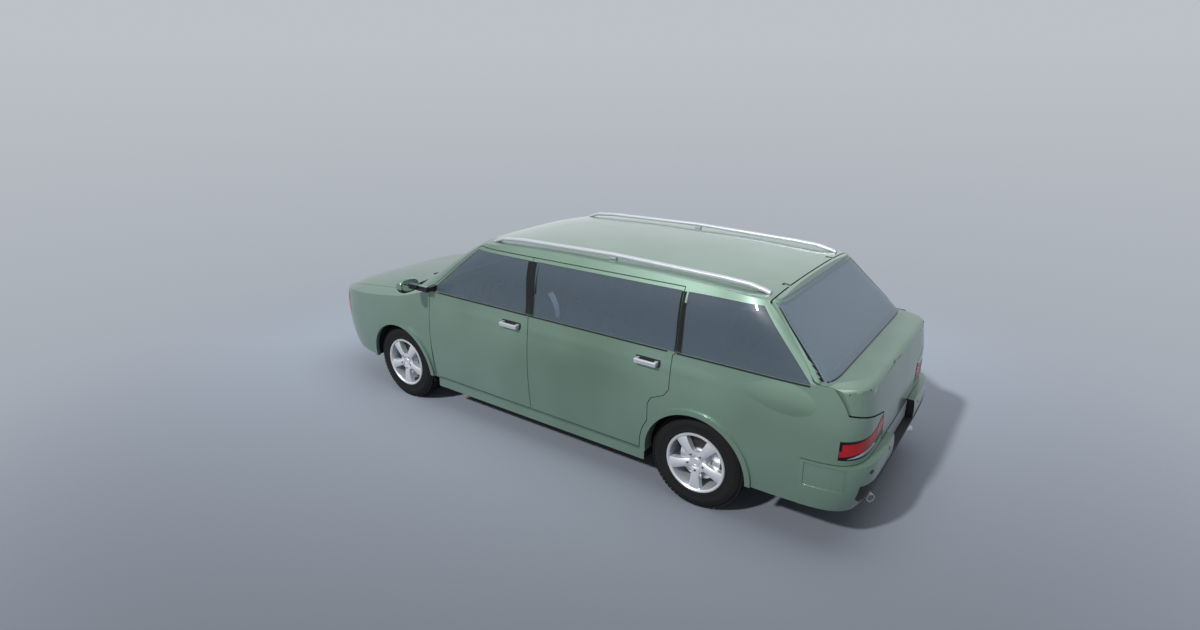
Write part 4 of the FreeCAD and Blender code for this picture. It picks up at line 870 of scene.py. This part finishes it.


# %% [markdown]
# ## Rear glass and bumper trim
# The rear window is glued over its frame, and an opaque grey border, painted reflection of glass over a
# dark primer, covers the painted ring around the opening, with a thin black line at its outer edge. The
# bumper carries a grained black valance and four parking sensors; the plate's recess has black walls as
# painted shade.

# %% Rear glass edge, sensors and valance
GLASS_BORDER = {
    "low": [(-0.792, 1.052), (0.792, 1.052), (0.762, 1.086), (-0.762, 1.086)],
    "high": [(-0.656, 1.396), (0.656, 1.396), (0.664, 1.426), (-0.664, 1.426)],
}
GLASS_BORDER_SIDE = [(0.754, 1.082), (0.784, 1.082), (0.745, 1.200), (0.716, 1.300), (0.684, 1.390),
                     (0.677, 1.418), (0.648, 1.400)]
GLASS_EDGE_SIDE = [(0.797, 1.056), (0.779, 1.056), (0.741, 1.200), (0.711, 1.300), (0.679, 1.390),
                   (0.684, 1.392), (0.718, 1.300), (0.750, 1.200)]
SIDE_STRIPS = (("border", GLASS_BORDER_SIDE, 0.2, painted_glass_reflection), ("edge", GLASS_EDGE_SIDE, 1.3, gloss_black))
SENSORS, SENSOR_HEIGHT, SENSOR_RADIUS = ((0.667, 2.370), (0.359, 2.387)), 0.56, 0.0115
VALANCE_HALF = [(0.300, 0.470), (0.772, 0.488), (0.768, 0.400), (0.730, 0.366)]
rear_skin = surface_of("tailgate", "tailgate_glass")
bumper_skin = surface_of("rear_bumper")
# The grey border pieces paint the reflection of glass over the tailgate's ring.
for key, outline in GLASS_BORDER.items():
    laid_on(f"rear_glass_border_{key}", outline, FROM_REAR, rear_skin, 0.2, 1.0, painted_glass_reflection, "tailgate",
            step=0.015)
laid_on("rear_glass_foot", band([(-0.794, 1.052), (0.794, 1.052)], 0.006), FROM_REAR, rear_skin, 1.3, 0.6,
        gloss_black, "tailgate")
for side, sign, _ in SIDES:
    for key, outline, lift, finish in SIDE_STRIPS:
        outline = [(sign * x, z) for x, z in outline]
        laid_on(f"rear_glass_{key}_{side}", outline, FROM_REAR, rear_skin, lift, 0.9, finish, "tailgate",
                step=0.008)
for side, sign, _ in SIDES:
    for i, (x, y) in enumerate(SENSORS):
        dot = oval(corner_angle(x, y), SENSOR_HEIGHT, SENSOR_RADIUS / CORNER_RADIUS, SENSOR_RADIUS, 24)
        laid_on(f"park_sensor_{side}_{i}", dot, corner_view(sign), bumper_skin, 0.2, 1.2, gloss_black,
                step=0.01, stretch=CORNER_RADIUS)
valance = VALANCE_HALF + [(-x, z) for x, z in reversed(VALANCE_HALF)]
laid_on("rear_valance", valance, FROM_REAR, bumper_skin, 0.3, 2.0, grained_black, step=0.025)
print("rear glass edged, sensors", 2 * len(SENSORS))


# %% [markdown]
# Three solids of the frame have a second finish on a few of their faces: the walls of the plate's recess
# are grained black as painted shade, the outer faces of the sills are painted, and the exhaust ends in silver
# tips.

# %% Second finishes on some faces
# The recess walls turn grained black: painted shade inside the recess.
def plate_recess_painted_shade(face, mesh):
    x, y, z = face.center
    wall = abs(face.normal.x) > 0.9 or face.normal.z > 0.9 or y < 2.372
    return abs(x) < 0.2715 and y > 2.30 and z > 0.4755 and wall


def on_sill(face, mesh):
    return abs(face.center.x) > 0.8 and face.center.z < 0.31 and abs(face.normal.x) > 0.9


def on_exhaust_tip(face, mesh):
    return max(mesh.vertices[v].co.y for v in face.vertices) > 2.3


for name, finish, chosen in (("rear_bumper", grained_black, plate_recess_painted_shade),
                             ("floor_pan", body_paint, on_sill), ("exhaust", rim_silver, on_exhaust_tip)):
    mesh = nodes[name].data
    mesh.materials.append(finish)
    picked = [face for face in mesh.polygons if chosen(face, mesh)]
    for face in picked:
        face.material_index = 1
    print(name, "faces with the second finish", len(picked))


# %% [markdown]
# ## Soft edge of the boot
# The pressed steel of the tailgate turns over the boot's edge in a wide radius. The dressed tailgate is
# the frame's solid with that one edge rounded: flat facets are joined first, so that the rounding runs
# as a clean band, and every other edge stays where the construction has it.

# %% Round the boot's edge
BOOT_EDGE_RADIUS, BOOT_EDGE_STEPS = 0.042, 6


def is_boot_edge(edge):
    if len(edge.link_faces) != 2:
        return False
    middle = (edge.verts[0].co + edge.verts[1].co) / 2
    inside = 0.97 < middle.z < 1.06 and middle.y > 2.205 and abs(middle.x) < 0.795
    on_top = [face.normal.z > 0.8 for face in edge.link_faces]
    return inside and on_top[0] != on_top[1] and edge.calc_face_angle() > math.radians(60)


form = form_of(nodes["tailgate"].data)
bmesh.ops.remove_doubles(form, verts=form.verts, dist=1e-5)
bmesh.ops.dissolve_limit(form, angle_limit=math.radians(0.5), verts=form.verts, edges=form.edges)
form.normal_update()
boot_edges = [edge for edge in form.edges if is_boot_edge(edge)]
print("boot edges", len(boot_edges), "length", round(sum(e.calc_length() for e in boot_edges), 2))
bmesh.ops.bevel(form, geom=boot_edges, offset=BOOT_EDGE_RADIUS, offset_type="WIDTH", segments=BOOT_EDGE_STEPS,
                profile=0.5, affect="EDGES", clamp_overlap=False)
dressed_tailgate = new_piece("dressed_tailgate", form, tail_paint, "tailgate", sharp=25.0)
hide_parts("tailgate")
print("tailgate faces", len(dressed_tailgate.data.polygons))


# %% [markdown]
# ## Roof rails
# The rails are drawn aluminium bars that lie close over the roof and dip down to it at both ends. Each
# follows the roof's own curve, so the path takes its height from the roof panel, and one rounded
# section is carried along it. A short foot holds the middle.

# %% Roof rails that follow the roof
RAIL_X, RAIL_SIZE, FOOT_SIZE, FOOT_HEIGHT = 0.600, (0.019, 0.012), (0.013, 0.014), 0.012
RAIL_PATH = [(-0.470, 0.004), (-0.440, 0.012), (-0.380, 0.025), (-0.200, 0.028), (0.600, 0.030),
             (1.400, 0.028), (1.570, 0.027), (1.660, 0.014), (1.700, 0.004)]
SECTION_CORNERS, SECTION_ROUNDNESS = 16, 0.55
roof_skin = surface_of("roof_panel")


def above_roof(x, y, rise, base_y=None):
    hit = roof_skin.ray_cast(Vector((x, y if base_y is None else base_y, 4)), Vector((0, 0, -1)))[0]
    return x, y, hit.z + rise


def carried_section(path, size):
    bm = bmesh.new()
    corner_angles = [2 * math.pi * k / SECTION_CORNERS for k in range(SECTION_CORNERS)]
    section = [[math.copysign(abs(part) ** SECTION_ROUNDNESS, part) * half
                for part, half in zip((math.cos(a), math.sin(a)), size)] for a in corner_angles]
    return skinned(bm, [[bm.verts.new((x + u, y, z + v)) for u, v in section] for x, y, z in path])


for side, sign, _ in SIDES:
    x = sign * RAIL_X
    path = [above_roof(x, y, rise) for y, rise in RAIL_PATH]
    rail = new_piece(f"roof_rail_{side}", carried_section(path, RAIL_SIZE), rail_metal, sharp=50.0)
    foot = [above_roof(x, y, FOOT_HEIGHT, base_y=0.6) for y in (0.575, 0.625)]
    new_piece(f"rail_foot_{side}", carried_section(foot, FOOT_SIZE), rail_metal)
    if side == "left":
        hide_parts("roof_rails")
print("rails from", RAIL_PATH[0][0], "to", RAIL_PATH[-1][0])


# %% [markdown]
# ## Handles, mirrors and mud flaps
# The door handles are anodised grips in a grained black pocket, black as painted shade of the recess.
# Each mirror is painted above and grained black below, with a bright ring around the plate of glass. Black
# rubber flaps hang behind the wheels.

# %% Handle pockets, black as painted shade behind the grips
HANDLE_SHADE_POCKET = [(-0.006, 0.914), (0.170, 0.914), (0.176, 0.930), (0.172, 0.962), (-0.006, 0.962)]
# Each pocket is grained black to paint the shade in the handle's recess.
for side, sign, view in SIDES:
    for door_name, grip_y in (("front_door", -0.197), ("rear_door", 0.954)):
        panel = f"{door_name}_{side}"
        pocket = [(grip_y + y, z) for y, z in HANDLE_SHADE_POCKET]
        laid_on(f"{panel}_handle_shade_pocket", pocket, view, surface_of(panel), 0.15, 0.8, grained_black, panel)


# %% Mirror shell, its glass and the ring
MIRROR_X, MIRROR_Z, TWO_TONE_HEIGHT = 0.978, 1.095, 1.078
mirror_finish, tree, shader = new_material("Mirror_shell_two_tone", Metallic=0.55, Roughness=0.36,
                                           Coat_Weight=1.0, Coat_Roughness=0.03)
place = add(tree, "ShaderNodeTexCoord").outputs["Object"]
height = add(tree, "ShaderNodeSeparateXYZ", Vector=place)
lower = add(tree, "ShaderNodeMath", {"operation": "LESS_THAN"}, i0=height.outputs["Z"], i1=TWO_TONE_HEIGHT)
add(tree, "ShaderNodeMix", {"data_type": "RGBA"}, {2: shader.inputs["Base Color"]}, Factor=lower,
    i6=rgba(PAINT), i7=rgba("17181A"))
add(tree, "ShaderNodeMath", {"operation": "MULTIPLY_ADD"}, {0: shader.inputs["Metallic"]}, i0=lower,
    i1=-0.55, i2=0.55)
add(tree, "ShaderNodeMath", {"operation": "SUBTRACT"}, {0: shader.inputs["Coat Weight"]}, i0=1.0, i1=lower)
grained_with(tree, shader, 1.4, 0.06, 0.1)
silvered = make_metal("Silvered_mirror_glass", "DDE2E6", 1.0, 0.03, 60.0, 0.01)
slot_of[silvered.name] = "rail_metal"

for side, sign, _ in SIDES:
    shell = nodes[f"mirror_{side}"]
    shell.data.materials.clear()
    shell.data.materials.append(mirror_finish)
    skin = surface_of(f"mirror_{side}")
    body = f"front_door_{side}"
    glass = oval(sign * MIRROR_X, MIRROR_Z, sign * 0.070, 0.036, 40)
    laid_on(f"mirror_glass_{side}", glass, FROM_REAR, skin, 0.2, 1.4, silvered, body, step=0.02)
    rings = half_rings(sign * MIRROR_X, MIRROR_Z, (sign * 0.0755, 0.0415), (sign * 0.0705, 0.0365), 20)
    for k, ring in enumerate(rings):
        laid_on(f"mirror_ring_{side}_{k}", ring, FROM_REAR, skin, 0.2, 2.4, bright_steel, body, step=0.02)
print("mirrors dressed")


# %% Mud flaps
FLAPS = {"rear": [(1.735, 0.480), (1.741, 0.478), (1.786, 0.330), (1.776, 0.326)],
         "front": [(-1.030, 0.330), (-1.024, 0.332), (-1.008, 0.236), (-1.017, 0.234)]}
FLAP_INNER_X, FLAP_WIDTH, FLAP_ROUNDING = 0.655, 0.187, 0.002
for side, sign, _ in SIDES:
    for place, outline in FLAPS.items():
        bm = bmesh.new()
        bm.faces.new([bm.verts.new((sign * FLAP_INNER_X, y, z)) for y, z in outline])
        grown = bmesh.ops.extrude_face_region(bm, geom=bm.faces[:])["geom"]
        bmesh.ops.translate(bm, verts=[v for v in grown if isinstance(v, bmesh.types.BMVert)],
                            vec=(sign * FLAP_WIDTH, 0, 0))
        bmesh.ops.bevel(bm, geom=bm.edges[:], offset=FLAP_ROUNDING, segments=2, affect="EDGES",
                        clamp_overlap=True)
        new_piece(f"{place}_mud_flap_{side}", bm, seal_rubber, sharp=30.0)
print("mud flaps hung")


# %% [markdown]
# ## Dials and controls
# Three pale dials stand in the wells of the dashboard. Their scales are the same stroke repeated round an
# arc, so Geometry Nodes place the strokes. Air vents, the gear lever, armrests and wiper blades follow.

# %% Dial scales with Geometry Nodes
DIALS = {"Radius": 0.034, "Strokes": 25, "Sweep": 4.4, "Stroke length": 0.004, "Stroke width": 0.0009,
         "Ink": gloss_black}
STROKE_HEIGHT = 0.0004
tree, given, end = tree_with_inputs("Dial_scale", DIALS)
arc = add(tree, "GeometryNodeCurveArc", Resolution=given["Strokes"], Radius=given["Radius"],
          Sweep_Angle=given["Sweep"])
size = add(tree, "ShaderNodeCombineXYZ", X=given["Stroke length"], Y=given["Stroke width"], Z=STROKE_HEIGHT)
stroke = add(tree, "GeometryNodeMeshCube", Size=size)
marks = add(tree, "GeometryNodeCurveToPoints", {"mode": "EVALUATED"}, Curve=arc)
copies_on(tree, marks, stroke, given["Ink"], end)
scale_mesh = grown_mesh("dial_strokes", tree, DIALS)
print("dial strokes", len(scale_mesh.polygons) // 6)


# %% Dials
DIAL_X, DIAL_PITCH, DIAL_Y, DIAL_Z, DIAL_RADIUS = 0.370, 0.096, -0.831, 0.944, 0.0395
SCALE_TURN, NEEDLE_TURN, NEEDLE_STEP = -36, 215, 30


def facing_rear(bm, place, degrees=0.0):
    return moved(moved(bm, (0, 0, 0), degrees, "Z"), place, -90, "X")


for i in (-1, 0, 1):
    x = DIAL_X + i * DIAL_PITCH
    face = bmesh.new()
    bmesh.ops.create_cone(face, cap_ends=True, segments=48, radius1=DIAL_RADIUS, radius2=DIAL_RADIUS,
                          depth=0.0016)
    new_piece(f"dial_face_{i + 1}", facing_rear(face, (x, DIAL_Y, DIAL_Z)), dial_white)
    strokes = facing_rear(form_of(scale_mesh), (x, DIAL_Y + 0.0011, DIAL_Z), SCALE_TURN)
    new_piece(f"dial_scale_{i + 1}", strokes, gloss_black)
    needle = bmesh.new()
    bmesh.ops.create_cube(needle, size=1.0)
    bmesh.ops.scale(needle, verts=needle.verts, vec=(0.030, 0.0016, 0.0012))
    facing_rear(moved(needle, (0.011, 0, 0)), (x, DIAL_Y + 0.003, DIAL_Z), NEEDLE_TURN - NEEDLE_STEP * i)
    new_piece(f"dial_needle_{i + 1}", needle, amber_lens)
print("dials placed")


# %% Vents, gear lever, armrests and wiper blades
VENTS = ((0.640, 0.045), (0.110, 0.045), (-0.060, 0.070), (-0.640, 0.045))
VENT_LOW, VENT_HIGH, SLAT_PITCH, SLAT_MARGIN, SLAT_WIDTH = 0.880, 0.945, 0.015, 0.005, 0.005
CENTRE_PANEL = [(-0.062, 0.735), (0.062, 0.735), (0.062, 0.855), (-0.062, 0.855)]
dash_skin = surface_of("dashboard")
for i, (x, half) in enumerate(VENTS):
    edge = [(x - half, VENT_LOW), (x + half, VENT_LOW), (x + half, VENT_HIGH), (x - half, VENT_HIGH)]
    laid_on(f"vent_frame_{i}", edge, FROM_REAR, dash_skin, 0.2, 2.0, gloss_black)
    for k in range(4):
        z = VENT_LOW + 0.010 + SLAT_PITCH * k
        slat = band([(x - half + SLAT_MARGIN, z), (x + half - SLAT_MARGIN, z)], SLAT_WIDTH)
        laid_on(f"vent_slat_{i}_{k}", slat, FROM_REAR, dash_skin, 2.2, 3.0, dash_plastic)
laid_on("centre_panel", CENTRE_PANEL, FROM_REAR, dash_skin, 0.2, 3.0, gloss_black)

LEVER_PROFILE = [(0.0, 0.055), (0.012, 0.048), (0.030, 0.030), (0.052, 0.016), (0.062, 0.008), (0.118, 0.007),
                 (0.122, 0.014), (0.130, 0.021), (0.142, 0.024), (0.154, 0.021), (0.160, 0.012), (0.162, 0.0)]
lever = moved(turned(LEVER_PROFILE, 32, closed=False), (0, -0.62, 0.559), -96, "Y")
new_piece("gear_lever", lever, dash_plastic, sharp=60.0)

for side, view in CABIN_VIEWS.items():
    for door_name, y0, y1 in (("front_door", -0.62, -0.16), ("rear_door", 0.35, 0.80)):
        panel = f"{door_name}_{side}"
        skin = surface_of(panel)
        rest_line = [(y0, 0.700), (y1 - 0.05, 0.690), (y1, 0.715), (y1, 0.740), (y0 + 0.03, 0.748),
                     (y0, 0.735)]
        laid_on(f"{panel}_armrest", rest_line, view, skin, 0.2, 42.0, dash_plastic, panel)
        card_line = [(y0 - 0.16, 0.765), (y1 + 0.06, 0.765), (y1 + 0.06, 0.925), (y0 - 0.16, 0.925)]
        laid_on(f"{panel}_card_cloth", card_line, view, skin, 0.2, 4.0, insert_cloth, panel)

screen_skin = surface_of("fixed_glass")
BLADE = [(0.06, 1.030), (0.30, 1.052), (0.535, 1.062)]
for i, start in enumerate((-0.560, 0.020)):
    line = band([(start + x, z) for x, z in BLADE], 0.008)
    laid_on(f"wiper_blade_{i}", line, FROM_FRONT, screen_skin, 0.2, 9.0, seal_rubber)
print("cabin and wiper pieces placed")


# %% [markdown]
# ## The studio
# The car stands in a seamless grey studio: the backdrop runs from pale grey at eye level to a darker
# blue grey at the feet, and that darkening is painted shade. The world carries it by the height of the
# view direction. The floor is real near the car, where it keeps the shadow; its colour grows a little
# darker towards the left rear as painted shade, and it fades out further away so that no horizon shows.
# The key light comes from far out on the left, so its shadow falls to the right with a clear edge. A
# large weak lamp overhead softens the rest, and a low one on the far side gives the roof its sheen.

# %% Backdrop
BACKDROP_LOW_PAINTED_SHADE, BACKDROP_HIGH = "87909E", "BCC1C7"
world = bpy.data.worlds.new("Grey_studio")
bpy.context.scene.world = world
world.use_nodes = True
tree = world.node_tree
base_light = tree.nodes["Background"]
base_light.inputs["Color"].default_value = rgba("C6CBD2")
base_light.inputs["Strength"].default_value = 0.50
# Seen by camera, gloss and glass, the backdrop darkens towards the feet by the view's height: painted shade.
direction = add(tree, "ShaderNodeTexCoord")
parts = add(tree, "ShaderNodeSeparateXYZ", Vector=direction.outputs["Generated"])
height = add(tree, "ShaderNodeMapRange", Value=parts.outputs["Z"], i1=-0.70, i2=0.04)
painted_shade_ramp = add(tree, "ShaderNodeValToRGB", Fac=height)
for end, colour in zip(painted_shade_ramp.color_ramp.elements, (BACKDROP_LOW_PAINTED_SHADE, BACKDROP_HIGH)):
    end.color = rgba(colour)
seen_backdrop = add(tree, "ShaderNodeBackground", Color=painted_shade_ramp, Strength=1.0)
rays = add(tree, "ShaderNodeLightPath").outputs
seen = add(tree, "ShaderNodeMath", {"operation": "MAXIMUM"}, i0=rays["Is Camera Ray"],
           i1=rays["Is Glossy Ray"])
seen = add(tree, "ShaderNodeMath", {"operation": "MAXIMUM"}, i0=seen, i1=rays["Is Transmission Ray"])
add(tree, "ShaderNodeMixShader", None, {"Shader": tree.nodes["World Output"].inputs["Surface"]}, i0=seen,
    i1=base_light, i2=seen_backdrop)
print("backdrop from", BACKDROP_LOW_PAINTED_SHADE, "up to", BACKDROP_HIGH)


# %% Floor that keeps the shadow and fades out
FLOOR_NEAR, FLOOR_FAR = 2.8, 5.6
PAINTED_SHADE_TOWARDS = (0.815, 0.580, 0)
bm = bmesh.new()
bmesh.ops.create_circle(bm, cap_ends=True, segments=96, radius=FLOOR_FAR + 0.5)
floor_mesh = bpy.data.meshes.new("studio_floor")
bm.to_mesh(floor_mesh)
bm.free()
floor = linked("studio_floor", floor_mesh)
floor_material, tree, shader = new_material("Blue_grey_studio_floor", Roughness=0.9, Specular_IOR_Level=0.1)
place = add(tree, "ShaderNodeTexCoord").outputs["Object"]
# The floor colour darkens towards the left rear: painted shade.
along = add(tree, "ShaderNodeVectorMath", {"operation": "DOT_PRODUCT"}, i0=place, i1=PAINTED_SHADE_TOWARDS)
painted_shade = add(tree, "ShaderNodeMapRange", Value=along.outputs["Value"], i1=-1.5, i2=4.0)
add(tree, "ShaderNodeMix", {"data_type": "RGBA"}, {2: shader.inputs["Base Color"]}, Factor=painted_shade,
    i6=rgba("A6AEBA"), i7=rgba("62666D"))
away = add(tree, "ShaderNodeVectorMath", {"operation": "LENGTH"}, i0=place)
fade = add(tree, "ShaderNodeMapRange", {"interpolation_type": "SMOOTHSTEP"}, Value=away.outputs["Value"],
           i1=FLOOR_NEAR, i2=FLOOR_FAR)
clear = add(tree, "ShaderNodeBsdfTransparent")
add(tree, "ShaderNodeMixShader", None, {"Shader": tree.nodes["Material Output"].inputs["Surface"]}, i0=fade,
    i1=shader, i2=clear)
floor_mesh.materials.append(floor_material)
print("floor radius", FLOOR_FAR)


# %% Lamps and camera
LIT_POINT = (0, 0, 0.6)


def aim(thing, target):
    direction = Vector(target) - thing.location
    thing.rotation_euler = direction.to_track_quat("-Z", "Y").to_euler()


def placed_lamp(name, kind, place, energy, width):
    data = bpy.data.lights.new(name, kind)
    data.energy = energy
    if kind == "SUN":
        data.angle = math.radians(width)
    else:
        data.size = width
    lamp = linked(name, data)
    lamp.location = place
    aim(lamp, LIT_POINT)
    return lamp


placed_lamp("key_left", "SUN", (5.75, -1.25, 5.6), 2.3, 3.0)
placed_lamp("soft_overhead", "AREA", (0.5, 2.0, 8.5), 300.0, 7.0)
far_side = placed_lamp("low_far_side", "AREA", (-12.4, -6.5, 5.0), 170.0, 12.0)
far_side.visible_camera = far_side.visible_transmission = False

camera_data = bpy.data.cameras.new("photo_camera")
camera_data.sensor_width = 36.0
camera_data.lens = 20.265
camera = linked("photo_camera", camera_data)
camera.location = (4.1955, 3.0513, 2.6058)
aim(camera, (-0.467, -0.271, 0.6))
bpy.context.scene.camera = camera
bpy.context.scene.view_settings.view_transform = "Standard"
